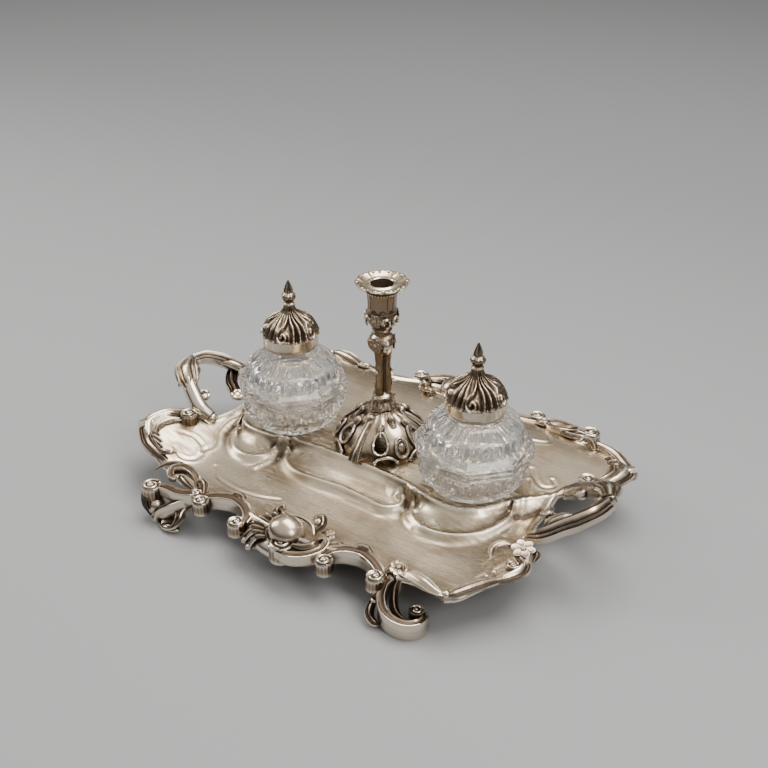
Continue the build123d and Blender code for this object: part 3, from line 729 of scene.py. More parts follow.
def outline_grooved(width, height):
    """A cast scroll's section: upright sides, and a groove between two rims on top. The top
    is at height / 2."""
    w, h = width / 2, height / 2
    rim = min(0.9, w * 0.3)
    return [(-w, h - rim * 0.7), (-w + rim * 0.3, h - rim * 0.1), (-w + rim * 0.7, h),
            (-w + rim * 1.1, h - rim * 0.4), (-w * 0.45, h - rim * 1.2), (0, h - rim * 1.45),
            (w * 0.45, h - rim * 1.2), (w - rim * 1.1, h - rim * 0.4), (w - rim * 0.7, h),
            (w - rim * 0.3, h - rim * 0.1), (w, h - rim * 0.7), (w * 0.93, 0), (w * 0.98, -h * 0.7),
            (w * 0.8, -h), (-w * 0.8, -h), (-w * 0.98, -h * 0.7), (-w * 0.93, 0)]


def outline_leaf(width, height):
    """A leaf's section: a midrib, two veins a side, and thin edges."""
    w, h = width / 2, height / 2
    return [(-w, -h * 0.2), (-w * 0.86, h * 0.35), (-w * 0.7, h * 0.1), (-w * 0.52, h * 0.62),
            (-w * 0.36, h * 0.28), (-w * 0.18, h * 0.8), (0, h), (w * 0.18, h * 0.8), (w * 0.36, h * 0.28),
            (w * 0.52, h * 0.62), (w * 0.7, h * 0.1), (w * 0.86, h * 0.35), (w, -h * 0.2),
            (w * 0.5, -h * 0.8), (0, -h), (-w * 0.5, -h * 0.8)]


class Casting:
    """A cast piece in the making, in mm: shapes are added to it, and then it is finished as
    one mesh."""

    def __init__(self):
        self.shape = bmesh.new()
        self.curves = []

    def bar(self, points, outline, sizes=(1,), tilt=0.0, steps=10):
        """Sweep an outline along a smooth path. sizes are spread evenly along the path."""
        path = through([tuple(p) for p in points], steps)
        profile = bpy.data.curves.new("outline", "CURVE")
        profile.dimensions = "2D"
        section = profile.splines.new("POLY")
        section.points.add(len(outline) - 1)
        for point, (u, v) in zip(section.points, outline):
            point.co = (u, v, 0, 1)
        section.use_cyclic_u = True
        curve = bpy.data.curves.new("bar", "CURVE")
        rise = np.abs(np.diff(path[:, 2])).sum()
        upright = rise > 1.2 * np.hypot(np.diff(path[:, 0]), np.diff(path[:, 1])).sum()
        curve.dimensions, curve.twist_mode = "3D", "MINIMUM" if upright else "Z_UP"
        line = curve.splines.new("POLY")
        line.points.add(len(path) - 1)
        shares = np.interp(np.linspace(0, 1, len(path)), np.linspace(0, 1, len(sizes)), sizes)
        for point, place, share in zip(line.points, path, shares):
            point.co = (*place, 1)
            point.radius = share
            point.tilt = radians(tilt)
        holders = [bpy.data.objects.new(data.name, data) for data in (profile, curve)]
        for holder in holders:
            bpy.context.collection.objects.link(holder)
        curve.bevel_mode, curve.bevel_object, curve.use_fill_caps = "OBJECT", holders[0], True
        self.curves.append(holders)

    def wire(self, points, radius, sizes=(1,), steps=8, sides=8):
        self.bar(points, outline_round(radius, sides), sizes, steps=steps)

    def ball(self, centre, radii, turn=0.0, lean=0.0, detail=20):
        """A ball squashed to three radii, turned about Z and leant about X, in degrees."""
        radii = radii if isinstance(radii, tuple) else (radii,) * 3
        place = (Matrix.Translation(centre) @ Matrix.Rotation(radians(turn), 4, "Z")
                 @ Matrix.Rotation(radians(lean), 4, "X") @ Matrix.Diagonal((*radii, 1)))
        bmesh.ops.create_uvsphere(self.shape, u_segments=detail, v_segments=detail // 2 + 2, radius=1,
                                  matrix=place)

    def volute(self, centre, radius, bottom, top, start=0, turns=1.6, ridge=0.9):
        """An upright roll with a fluted wall, a spiral rim on its flat top and an eye. Its
        height runs from bottom to top. Negative turns wind the other way."""
        x, y = centre
        wall = lathe(fine([(0, bottom), (radius * 0.86, bottom), (radius, bottom + 0.8),
                           (radius, top - 0.9), (radius * 0.9, top - 0.3), (radius * 0.7, top - 1.0),
                           (radius * 0.25, top - 0.9), (0, top - 0.9)], 1.2), 48)
        carve(wall, lambda turn, r, z: -0.25 * (r > radius * 0.93) * (np.cos(16 * turn) > 0.3))
        bmesh.ops.translate(wall, vec=(x, y, 0), verts=wall.verts)
        self.take(wall)
        coil = [(px, py, top - 0.7)
                for px, py in spiral((x, y), start, turns, radius - ridge * 0.75, radius * 0.22)]
        self.wire(coil, ridge, (1.0, 1.0, 0.85, 0.7), steps=2)
        self.ball((x, y, top - 0.5), (radius * 0.24, radius * 0.24, 0.9), detail=10)

    def flower(self, centre, radius, petals=6, lean=0.0, turn=0.0):
        """An open flower: a ring of hollowed petals round a seeded eye."""
        face = Matrix.Translation(centre) @ Matrix.Rotation(radians(turn), 4,
                                                            "Z") @ Matrix.Rotation(radians(lean), 4, "X")
        for k in range(petals):
            petal = bmesh.new()
            bmesh.ops.create_uvsphere(petal, u_segments=14, v_segments=10, radius=1)
            for vert in petal.verts:
                x, y, z = vert.co
                vert.co.z = z * 0.35 + 0.45 * (x * x + y * y) * (z > -0.5)
            place = (face @ Matrix.Rotation(2 * pi * k / petals, 4, "Z")
                     @ Matrix.Translation((radius * 0.62, 0, 0))
                     @ Matrix.Diagonal((radius * 0.42, radius * 0.36, radius * 0.32, 1)))
            bmesh.ops.transform(petal, matrix=place, verts=petal.verts)
            self.take(petal)
        for k in range(6):
            seed = face @ Matrix.Rotation(2 * pi * k / 6, 4, "Z") @ Vector((radius * 0.16, 0, radius * 0.2))
            self.ball(tuple(seed), radius * 0.12, detail=8)
        self.ball(tuple(face @ Vector((0, 0, radius * 0.18))), radius * 0.15, detail=8)

    def take(self, other):
        """Add a ready bmesh, and free it."""
        mesh = bpy.data.meshes.new("part")
        other.to_mesh(mesh)
        other.free()
        self.shape.from_mesh(mesh)
        bpy.data.meshes.remove(mesh)

    def finish(self, name, body, nodes, place=Matrix.Identity(4), sharp=45, rounds=8, slot="cast_silver"):
        graph = bpy.context.evaluated_depsgraph_get()
        for _, curve in self.curves:
            mesh = bpy.data.meshes.new_from_object(curve.evaluated_get(graph))
            self.shape.from_mesh(mesh)
            bpy.data.meshes.remove(mesh)
        for holders in self.curves:
            for holder in holders:
                bpy.data.curves.remove(holder.data)
        bmesh.ops.remove_doubles(self.shape, verts=self.shape.verts, dist=1e-4)
        bmesh.ops.recalc_face_normals(self.shape, faces=self.shape.faces)
        bmesh.ops.transform(self.shape, matrix=place @ Matrix.Diagonal((MM, MM, MM, 1)),
                            verts=self.shape.verts)
        if place.determinant() < 0:
            bmesh.ops.reverse_faces(self.shape, faces=self.shape.faces)
        return finish(name, self.shape, slot, body, nodes, sharp=sharp, recalculate=False, rounds=rounds)

# %% The pierced base
LEGS = (-90, 30, 150)
HOLE_SPREAD = 31
base_low, base_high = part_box("taper_base")
base_tall = (base_high[2] - base_low[2]) / MM
bell = through([(28.6, 0), (28.2, 3.0), (26.4, 7.5), (23.2, 12.0), (18.6, 16.2), (13.2, 19.6), (9.2, 22.0),
                (7.4, base_tall)], 10)


def bell_radius(z):
    return float(np.interp(z, bell[:, 1], bell[:, 0]))


def bell_line(turn, z, proud=0.4):
    """A point of the bell at a turn in degrees and a height."""
    r = bell_radius(z) + proud
    return (r * cos(radians(turn)), r * sin(radians(turn)), z)


def oval(turn, z, wide, tall, proud=0.4, count=16):
    """A closed oval drawn on the bell."""
    ring = []
    for k in range(count + 1):
        angle = 2 * pi * k / count
        height = z + tall * sin(angle)
        ring.append(bell_line(turn + np.degrees(wide * cos(angle) / bell_radius(z)), height, proud))
    return ring


def pierced_bell():
    shell = bmesh.new()
    points = [shell.verts.new((r, 0, z)) for r, z in fine([tuple(p) for p in bell], 0.45)]
    for first, second in zip(points, points[1:]):
        shell.edges.new((first, second))
    bmesh.ops.spin(shell, geom=shell.verts[:] + shell.edges[:], cent=(0, 0, 0), axis=(0, 0, 1),
                   angle=2 * pi, steps=270, use_merge=True)
    bmesh.ops.remove_doubles(shell, verts=shell.verts, dist=1e-4)
    holes = [(leg + side * HOLE_SPREAD, 11.5, 4.0, 5.0) for leg in LEGS for side in (1, -1)]
    arches = [(leg + side * 38, 0.0, 5.6, 4.4) for leg in LEGS for side in (1, -1)]

    def level_of(co, hole):
        turn, z, wide, tall = hole
        off = (np.degrees(atan2(co.y, co.x)) - turn + 180) % 360 - 180
        across = radians(off) * bell_radius(max(z, 6.0))
        return across, co.z - z, hypot(across / wide, (co.z - z) / tall)

    for hole in holes + arches:
        turn, z, wide, tall = hole
        for vert in shell.verts:
            across, up, share = level_of(vert.co, hole)
            if 0.82 < share < 1.18:
                angle = radians(turn) + across / share / bell_radius(max(z, 6.0))
                height = max(0.0, z + up / share)
                radius = bell_radius(height)
                vert.co = (radius * cos(angle), radius * sin(angle), height)
    gone = [face for face in shell.faces
            if any(level_of(face.calc_center_median(), hole)[2] < 0.985 for hole in holes + arches)]
    bmesh.ops.delete(shell, geom=gone, context="FACES")
    loose = [v for v in shell.verts if not v.link_faces]
    bmesh.ops.delete(shell, geom=loose, context="VERTS")

    def ribs(turn, radius, z):
        degrees = np.degrees(turn)
        swell = np.zeros(turn.shape)
        for leg in LEGS:
            off = (degrees - leg + 180) % 360 - 180
            across = np.radians(off) * radius
            foot = smooth_step(z, 16, 0)
            swell += 1.5 * bump(across, 2.6 + 1.2 * foot) + 2.0 * foot * bump(across, 3.6)
            centre = (off - 60 + 180) % 360 - 180
            swell += 1.0 * bump(np.radians(centre) * radius, 4.2) * bump(z - 9, 6)
        return swell + 0.22 * np.cos(radians(1) * degrees * 18) * smooth_step(z, 15, 20)

    carve(shell, ribs)
    bmesh.ops.recalc_face_normals(shell, faces=shell.faces)
    thickened = bmesh.ops.extrude_face_region(shell, geom=shell.faces[:], use_keep_orig=True)
    for vert in thickened["geom"]:
        if isinstance(vert, bmesh.types.BMVert):
            keep = 1 - 1.3 / hypot(vert.co.x, vert.co.y)
            vert.co = (vert.co.x * keep, vert.co.y * keep, max(0, vert.co.z - 0.7))
    return shell


base = Casting()
base.take(pierced_bell())
for leg in LEGS:
    for side in (1, -1):
        base.wire(oval(leg + side * HOLE_SPREAD, 11.5, 4.3, 5.3, 1.0), 1.0, steps=3)
        base.wire([bell_line(leg + side * (38 - 13), 0.9, 1.0), bell_line(leg + side * (38 - 11), 3.4, 1.2),
                   bell_line(leg + side * 38, 5.2, 1.3), bell_line(leg + side * (38 + 11), 3.4, 1.2),
                   bell_line(leg + side * (38 + 13), 0.9, 1.0)], 0.9, steps=6)
        base.ball(bell_line(leg + side * 24.5, 1.6, 1.0), 1.5, detail=10)
        base.ball(bell_line(leg + side * 51.5, 1.6, 1.0), 1.4, detail=10)
    base.bar([bell_line(leg, 22, 1.2), bell_line(leg, 16, 1.8), bell_line(leg, 8, 3.0),
              (33 * cos(radians(leg)), 33 * sin(radians(leg)), 1.7)], outline_leaf(5.6, 2.6),
             (0.75, 0.9, 1.1, 1.3), steps=8)
    frame_turn = leg + 60
    base.wire(oval(frame_turn, 9.0, 3.9, 5.0, 1.5), 0.8, steps=3)
    base.wire(oval(frame_turn, 9.0, 2.9, 3.9, 1.6), 0.4, steps=3)
    eye = bell_line(frame_turn, 9.0, 0.9)
    base.ball(eye, (1.6, 2.4, 3.3), turn=frame_turn, detail=16)
    for k, lift in enumerate((19.0, 22.0)):
        for side in (1, -1):
            lip = leg + 30 * side + 30 * k
            base.bar([bell_line(lip, lift - 4, 0.8), bell_line(lip, lift - 1, 2.4),
                      bell_line(lip, lift + 1.2, 3.4), bell_line(lip, lift + 1.0, 4.8),
                      bell_line(lip, lift - 0.4, 4.6)], outline_leaf(5.0, 1.6), (0.8, 1.0, 1.0, 0.8, 0.4),
                     steps=6)
base.finish("pierced_base", "taperstick", ["taper_base"],
            Matrix.Translation((taper_axis[0], taper_axis[1], base_low[2])), rounds=10)

# %% The stem, with its three hollows, knop and rosettes
stem_low, stem_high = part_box("taper_stem")
stem_tall = (stem_high[2] - stem_low[2]) / MM
stem = lathe(fine([(0, 0), (8.3, 0), (8.6, 1.6), (7.6, 3.6), (6.2, 6.0), (6.6, 8.0), (6.4, 9.2),
                   (5.0, 11.0), (5.2, 16), (4.9, 24), (4.6, 32), (5.2, 38), (6.0, 41), (6.6, 42.4),
                   (8.0, 45), (8.1, 47.6), (6.6, 50.2), (5.0, 51.6), (5.6, stem_tall - 1.2),
                   (5.4, stem_tall), (0, stem_tall)], 0.5), 120)


def stem_hollows(turn, radius, z):
    lobes = np.cos(3 * (turn - radians(30)))
    slender = smooth_step(z, 9, 13) * (1 - smooth_step(z, 38, 42))
    foot = 1 - smooth_step(z, 8, 10)
    groove = -1.9 * slender * bump((1 - lobes) / 2 - 1, 0.28)
    return (0.55 * slender * lobes + groove + 0.9 * foot * lobes
            - 0.3 * foot * np.cos(9 * turn)) * (radius > 2)


carve(stem, stem_hollows)
stick = Casting()
stick.take(stem)
for k in range(3):
    turn = radians(LEGS[k])
    out = Vector((cos(turn), sin(turn), 0))
    stick.flower(tuple(out * 7.0 + Vector((0, 0, 46.3))), 4.6, 7, lean=90, turn=LEGS[k] + 90)
    stick.bar([tuple(out * 4.8 + Vector((0, 0, z))) for z in (12, 17, 22, 26)], outline_leaf(3.4, 1.5),
              (0.3, 1.0, 0.8, 0.3), steps=6)
    stick.ball(tuple(out * 6.0 + Vector((0, 0, 27))), (1.1, 1.1, 1.4), detail=10)
    stick.bar([tuple(out * (6.4 + lean) + Vector((0, 0, z)))
               for z, lean in ((1, 1.2), (4, 1.0), (7.5, 0.4), (9.5, 1.6))], outline_leaf(5.4, 2.0),
              (0.8, 1.0, 0.9, 0.4), steps=6)
    other = radians(LEGS[k] + 60)
    side = Vector((cos(other), sin(other), 0))
    stick.bar([tuple(side * (6.6 + lean) + Vector((0, 0, z)))
               for z, lean in ((40, -0.8), (43, 0.6), (46, 1.3), (49.5, 0.4))], outline_leaf(6.0, 2.6),
              (0.4, 1.0, 1.0, 0.5), steps=6)
stick.finish("fluted_stem", "taperstick", ["taper_stem"],
             Matrix.Translation((taper_axis[0], taper_axis[1], stem_low[2])), rounds=8)

# %% The socket: flat panels above a bulge of scrolls and flowers
socket_low, socket_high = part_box("taper_socket")
socket_tall = (socket_high[2] - socket_low[2]) / MM
bore = 8.05
shell = lathe(fine([(3.05, 0), (5.6, 0), (6.2, 1.0), (5.6, 2.2), (7.2, 4.0), (9.0, 6.6), (9.6, 8.6),
                    (9.5, 10.6), (8.8, 12.4), (9.1, 13.2), (8.7, 14.2), (8.5, 16), (8.8, 22),
                    (9.5, socket_tall - 1.6), (10.0, socket_tall - 0.8), (9.6, socket_tall)], 0.5)
              + fine([(bore, socket_tall), (bore, 8), (3.05, 7.8)], 3.0), 144)


def socket_panels(turn, radius, z):
    outside = radius > 8.15
    upper = smooth_step(z, 14.2, 15.5) * (1 - smooth_step(z, socket_tall - 3.4, socket_tall - 2.2))
    panel = (turn / (2 * pi) * 10) % 1.0
    hollow = -0.42 * upper * np.sqrt(np.clip(1 - ((panel - 0.5) / 0.34) ** 2, 0, 1))
    swirl = 0.35 * np.sin(6 * turn + z * 0.9) * bump(z - 9.0, 3.0)
    return (hollow + swirl) * outside


carve(shell, socket_panels)
holder = Casting()
holder.take(shell)
for k in range(3):
    facing = LEGS[k] + 8
    out = Vector((cos(radians(facing)), sin(radians(facing)), 0))
    holder.flower(tuple(out * 9.0 + Vector((0, 0, 9.4))), 4.2, 6, lean=90, turn=facing + 90)
    for side in (1, -1):
        curl = []
        for step in range(11):
            angle = radians(-80 + 34 * step)
            size = 3.6 - 0.26 * step
            swing = radians(facing) + side * (0.62 + size * cos(angle) / 9.8)
            curl.append((9.7 * cos(swing), 9.7 * sin(swing), 8.6 + size * sin(angle)))
        holder.wire(curl, 1.0, (0.6, 1, 1, 0.8), steps=4)
for k in range(36):
    turn = 2 * pi * k / 36
    holder.ball((9.75 * cos(turn), 9.75 * sin(turn), socket_tall - 2.6), 0.62, detail=6)
holder.finish("fluted_socket", "taperstick", ["taper_socket"],
              Matrix.Translation((taper_axis[0], taper_axis[1], socket_low[2])), rounds=8)

# %% The lift-out drip pan
pan_low, pan_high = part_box("taper_nozzle")
pan_tall = (pan_high[2] - pan_low[2]) / MM
rim_height = pan_tall - 3.0
pan = lathe(fine([(6.9, 0), (7.6, 0), (7.65, rim_height), (10.0, rim_height + 0.05),
                  (13.2, rim_height + 0.7), (15.6, rim_height + 1.5), (16.3, rim_height + 2.1),
                  (16.3, rim_height + 2.8), (15.6, rim_height + 3.0), (13.4, rim_height + 2.0),
                  (10.6, rim_height + 1.25), (8.6, rim_height + 1.3), (7.4, rim_height + 1.9),
                  (6.9, rim_height + 1.5)], 0.6), 168)
carve(pan, lambda turn, radius, z: np.where(radius > 11, -(radius / 16.3) ** 3, 0.0) * (
    1.5 * np.abs(np.sin(5 * turn)) ** 6 + 0.35 * np.abs(np.sin(15 * turn))))
drip = Casting()
drip.take(pan)
for k in range(10):
    turn = 2 * pi * k / 10
    drip.ball((14.6 * cos(turn), 14.6 * sin(turn), rim_height + 2.75), (1.0, 1.0, 0.55), detail=8)
    between = turn + pi / 10
    drip.wire([(15.0 * cos(between + s), 15.0 * sin(between + s), rim_height + 2.7)
               for s in (-0.24, -0.12, 0, 0.12, 0.24)], 0.45, (0.6, 1, 1, 0.6), steps=4, sides=6)
drip.finish("drip_pan", "nozzle", ["taper_nozzle"],
            Matrix.Translation((taper_axis[0], taper_axis[1], pan_low[2])), rounds=8)

# %% The seat ring, lug and screw keep their CAD shapes
for node, finish_name in (("taper_seat", "sheet_silver"), ("taper_lug", "sheet_silver"),
                          ("stem_screw", "brass_nut")):
    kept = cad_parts[node]
    kept.data.materials.clear()
    kept.data.materials.append(finishes[finish_name])

# %% [markdown]
# ## The castings on the rim
# Feet, scrolls, shells, leaves and flowers were cast in sand from carved patterns, chased
# and soldered under the rim. Scroll bars are one grooved outline swept along a curve, so
# their width can swell and die away as a carver would cut them. The back castings are the
# front ones turned half round, as a silversmith saves a pattern.

# %% Turned and mirrored places
HALF_TURN = Matrix.Rotation(pi, 4, "Z")
STILL = Matrix.Identity(4)
MIRROR_X = Matrix.Diagonal((-1, 1, 1, 1))

# %% Cartouche: a polished boss in a shell, with a large volute
def cartouche(name, node, place):
    made = Casting()
    made.ball((0, -95, 17.5), (25, 13.5, 7.5), detail=40)
    made.ball((-1, -93.5, 25.0), (11.2, 10.4, 9.6), detail=48)
    made.wire([(-13, -86, 24), (-8, -81.5, 26), (0, -80.2, 27), (9, -82, 26.5), (14, -87, 25)], 1.1,
              (0.5, 1, 1, 1, 0.6))
    for k in range(8):
        angle = radians(118 + 17 * k)
        inner = (-2 + 12.2 * cos(angle), -93.5 + 11.0 * sin(angle))
        outer = (-4 + 24.5 * cos(angle), -94.0 + 15.5 * sin(angle))
        middle_point = ((inner[0] + outer[0]) / 2, (inner[1] + outer[1]) / 2)
        made.bar([(*inner, 24.5), (*middle_point, 25.6 - 0.3 * k), (*outer, 18.5 - 0.4 * k)],
                 outline_leaf(4.8, 3.0), (0.6, 1.0, 0.75), steps=8)
        made.ball((outer[0], outer[1], 18.8 - 0.4 * k), (2.1, 2.1, 1.9), detail=12)
    made.volute((2.5, -102.4), 7.4, 13.5, 25.5, start=-60, turns=-1.7, ridge=1.15)
    made.bar([(3.5, -108.6, 22.0), (12, -108.2, 21.6), (20, -103.5, 22.0), (25, -96, 23.2),
              (24.5, -90, 25), (21, -88.5, 25.8), (19, -91, 25)], outline_grooved(5.0, 7.0),
             (0.7, 1.0, 1.0, 0.9, 0.75, 0.55, 0.4), steps=8)
    made.bar([(9, -101, 25), (15, -99.5, 25.6), (19.5, -95.5, 26.4), (19, -91, 26.5)],
             outline_leaf(5.6, 3.0), (0.4, 1.0, 1.0, 0.4), steps=8)
    made.volute((-17, -100), 4.6, 12.5, 21.5, start=20, turns=1.4, ridge=0.8)
    made.bar([(12, -84, 24), (15, -80.5, 27.5), (13, -77, 30), (9.5, -77.5, 29.5), (9.5, -80, 28.5)],
             outline_leaf(5.2, 3.0), (0.9, 1.1, 1.0, 0.9, 0.5), steps=8)
    made.ball((11.5, -79.5, 28), (2.4, 2.2, 2.2), detail=14)
    made.bar([(-15, -84, 22), (-17.5, -80, 25.5), (-15, -77.5, 27.5), (-12.5, -79.5, 27)],
             outline_leaf(5.0, 2.6), (0.9, 1.1, 0.9, 0.5), steps=8)
    made.flower((20.5, -82.5, 24.2), 4.2, 6, lean=25)
    made.bar([(24, -88, 23.5), (28, -84, 23), (32, -85, 22), (33, -89, 21)], outline_leaf(5.0, 2.6),
             (0.5, 1, 1, 0.5), steps=8)
    made.finish(name, "stand", [node], place, rounds=8)


cartouche("front_shell", "front_cartouche", STILL)
cartouche("back_shell", "back_cartouche", HALF_TURN)

# %% C-scrolls that link the cartouche to the feet
def link_scroll(name, node, place):
    made = Casting()
    made.volute((31, -101.2), 5.3, 15.5, 25.0, start=60, turns=1.5, ridge=0.95)
    made.volute((61.5, -97.0), 5.3, 15.5, 25.0, start=120, turns=-1.5, ridge=0.95)
    made.bar([(27.6, -98.0, 20.6), (29.5, -92.5, 20.8), (36, -87.6, 21.2), (45, -85.4, 21.4),
              (53, -87.3, 21.2), (59.5, -90.5, 20.8), (65.3, -94.5, 20.6)], outline_grooved(6.2, 8.6),
             (0.75, 1.0, 1.1, 1.15, 1.1, 1.0, 0.75), steps=8)
    made.bar([(37, -85.4, 23.8), (41, -82.0, 25.6), (46, -81.4, 26.2), (51, -83.2, 25.2)],
             outline_leaf(4.6, 2.4), (0.3, 1.0, 1.0, 0.3), steps=8)
    made.ball((45.5, -81.0, 25.6), (1.7, 1.7, 1.5), detail=12)
    made.bar([(64, -91, 24.5), (67.5, -86.5, 26.8), (71.5, -85.2, 27.6), (73.5, -87.5, 26.8)],
             outline_leaf(5.4, 2.8), (0.5, 1.1, 1.0, 0.4), steps=8)
    made.finish(name, "stand", [node], place, rounds=8)


link_scroll("front_right_c_scroll", "front_right_scroll", STILL)
link_scroll("front_left_c_scroll", "front_left_scroll", MIRROR_X)
link_scroll("back_left_c_scroll", "back_left_scroll", HALF_TURN)
link_scroll("back_right_c_scroll", "back_right_scroll", HALF_TURN @ MIRROR_X)

# %% Feet: a tall curled band that ends in a square knob, with a leaf above it
def scroll_foot(name, node, place):
    made = Casting()
    made.bar([(70, -89, 18.6), (67.6, -94, 15.4), (68.0, -100, 11.6), (72, -105.2, 8.0), (79, -107.3, 6.2),
              (86.5, -106.3, 5.6), (92, -101.5, 5.6), (92.5, -96.0, 5.8), (89.5, -92.8, 6.2)],
             outline_grooved(4.6, 11.0), (1.0, 1.05, 1.05, 1.0, 1.0, 1.0, 1.0, 0.9, 0.7), steps=9)
    made.bar([(72.5, -90, 22.5), (73.2, -95.5, 18.5), (76, -100.5, 13.0), (81, -103.0, 9.6),
              (86.5, -102.5, 8.4), (89, -98.5, 8.0)], outline_leaf(4.2, 4.0),
             (0.9, 1.2, 1.2, 1.0, 0.8, 0.4), steps=8)
    made.volute((86.2, -94.2), 4.3, 3.2, 11.4, start=200, turns=-1.3, ridge=0.8)
    made.bar([(70.5, -86, 24.0), (78, -87.2, 26.6), (87, -89.4, 27.2), (95.5, -91.5, 26.6),
              (101.5, -90.5, 25.4)], outline_leaf(9.0, 3.4), (0.55, 1.0, 1.15, 0.8, 0.25), tilt=-14,
             steps=10)
    made.wire([(71, -88.5, 25.2), (79, -91.6, 26.4), (88, -93.6, 26.4), (97, -93.0, 26.0),
               (101.5, -90.4, 25.8)], 0.85, (0.6, 1, 1, 1, 0.6))
    made.ball((101.5, -90.2, 25.8), (2.4, 2.2, 2.2), detail=14)
    made.flower((70.2, -86.6, 26.8), 4.9, 7, lean=22, turn=20)
    made.bar([(66, -98, 12.5), (63.6, -103, 10.6), (64.6, -107.0, 6.5), (68.4, -108.2, 3.4),
              (71.0, -106.2, 2.4)], outline_leaf(5.4, 3.2), (0.5, 0.95, 1.0, 0.95, 0.4), steps=8)
    made.wire([(x, y, 12.8) for x, y in spiral((64.4, -101.2), 100, -1.2, 3.0, 0.8)],
              0.95, (1, 1, 0.8), steps=2)
    made.ball((66.5, -106.8, 2.3), (3.4, 2.5, 2.2), turn=-25, detail=14)
    made.finish(name, "stand", [node], place, rounds=8)


def cupped_foot(name, node, place):
    """The left front foot: a fluted roll to the side, and a hollow cup that stands on the table."""
    made = Casting()
    made.bar([(-68.5, -90, 22.5), (-71.5, -94.5, 21.0), (-79, -97.0, 20.4), (-88, -97.0, 20.4),
              (-96, -98.2, 20.0)], outline_grooved(6.4, 8.0), (0.8, 1.0, 1.0, 0.9, 0.7), steps=9)
    made.volute((-98.2, -99.6), 6.2, 9.0, 23.4, start=80, turns=1.6, ridge=1.0)
    made.ball((-95.5, -100.8, 9.5), (6.2, 6.0, 6.5), detail=24)
    for k in range(9):
        angle = radians(150 + 18 * k)
        made.bar([(-98.2 + 6.0 * cos(angle), -99.8 + 6.0 * sin(angle), 17),
                  (-97.2 + 6.5 * cos(angle), -100.2 + 6.3 * sin(angle), 11),
                  (-94.5 + 4.0 * cos(angle), -101.4 + 4.2 * sin(angle), 5.0)], outline_leaf(2.1, 1.8),
                 (0.6, 1.0, 0.6), steps=5)
    made.bar([(-71, -92, 19.0), (-76, -97.5, 15.6), (-83, -101.5, 11.6), (-89, -104.5, 7.5),
              (-90.5, -107.0, 4.0)], outline_grooved(5.4, 9.4), (1.0, 1.0, 0.9, 0.8, 0.6), steps=9)
    cup = lathe(fine([(0, -1.8), (2.4, -1.7), (4.4, -0.7), (5.2, 1.2), (4.9, 2.0), (4.4, 1.2), (3.4, 0.0),
                      (1.6, -0.7), (0, -0.9)], 0.6), 48)
    bmesh.ops.transform(cup, verts=cup.verts, matrix=Matrix.Translation((-80.5, -103.0, 5.6))
                        @ Matrix.Rotation(radians(-24), 4, "Z") @ Matrix.Rotation(radians(52), 4, "X")
                        @ Matrix.Diagonal((1.15, 1.5, 1.5, 1)))
    made.take(cup)
    made.bar([(-71.5, -93, 16), (-73.6, -99.5, 13.0), (-73.4, -104.0, 9.0), (-76.5, -106.4, 4.8),
              (-82, -106.8, 2.6), (-88, -105.0, 2.3)], outline_leaf(5.6, 3.4),
             (0.7, 1.0, 0.95, 1.0, 1.0, 0.6), steps=8)
    made.ball((-79.5, -105.8, 2.2), (6.4, 3.2, 2.1), turn=8, detail=18)
    made.bar([(-70.5, -88, 24), (-77, -83.5, 27.5), (-86, -82.5, 29.0), (-91.5, -86.0, 28.4),
              (-90.5, -90.5, 26.8), (-86.5, -91.5, 26.0)], outline_grooved(4.6, 4.6),
             (0.6, 1.0, 1.1, 1.1, 0.9, 0.6), steps=9)
    made.bar([(-73, -91, 24.6), (-78, -90.8, 26.2), (-83.5, -88.6, 26.6), (-87, -86.4, 26.2)],
             outline_leaf(5.2, 2.8), (0.4, 1.0, 1.0, 0.3), steps=8)
    made.bar([(-86, -81.5, 28), (-93, -80.5, 28.6), (-100, -83.5, 28.0), (-104.5, -90.0, 26.0)],
             outline_leaf(6.0, 4.0), (0.9, 1.0, 0.8, 0.3), steps=9)
    made.volute((-68.2, -92.6), 3.6, 15.0, 25.4, start=10, turns=1.4, ridge=0.8)
    made.finish(name, "stand", [node], place, rounds=8)


scroll_foot("front_right_curled_foot", "front_right_foot", STILL)
cupped_foot("front_left_cupped_foot", "front_left_foot", STILL)
scroll_foot("back_left_curled_foot", "back_left_foot", HALF_TURN)
cupped_foot("back_right_cupped_foot", "back_right_foot", HALF_TURN)

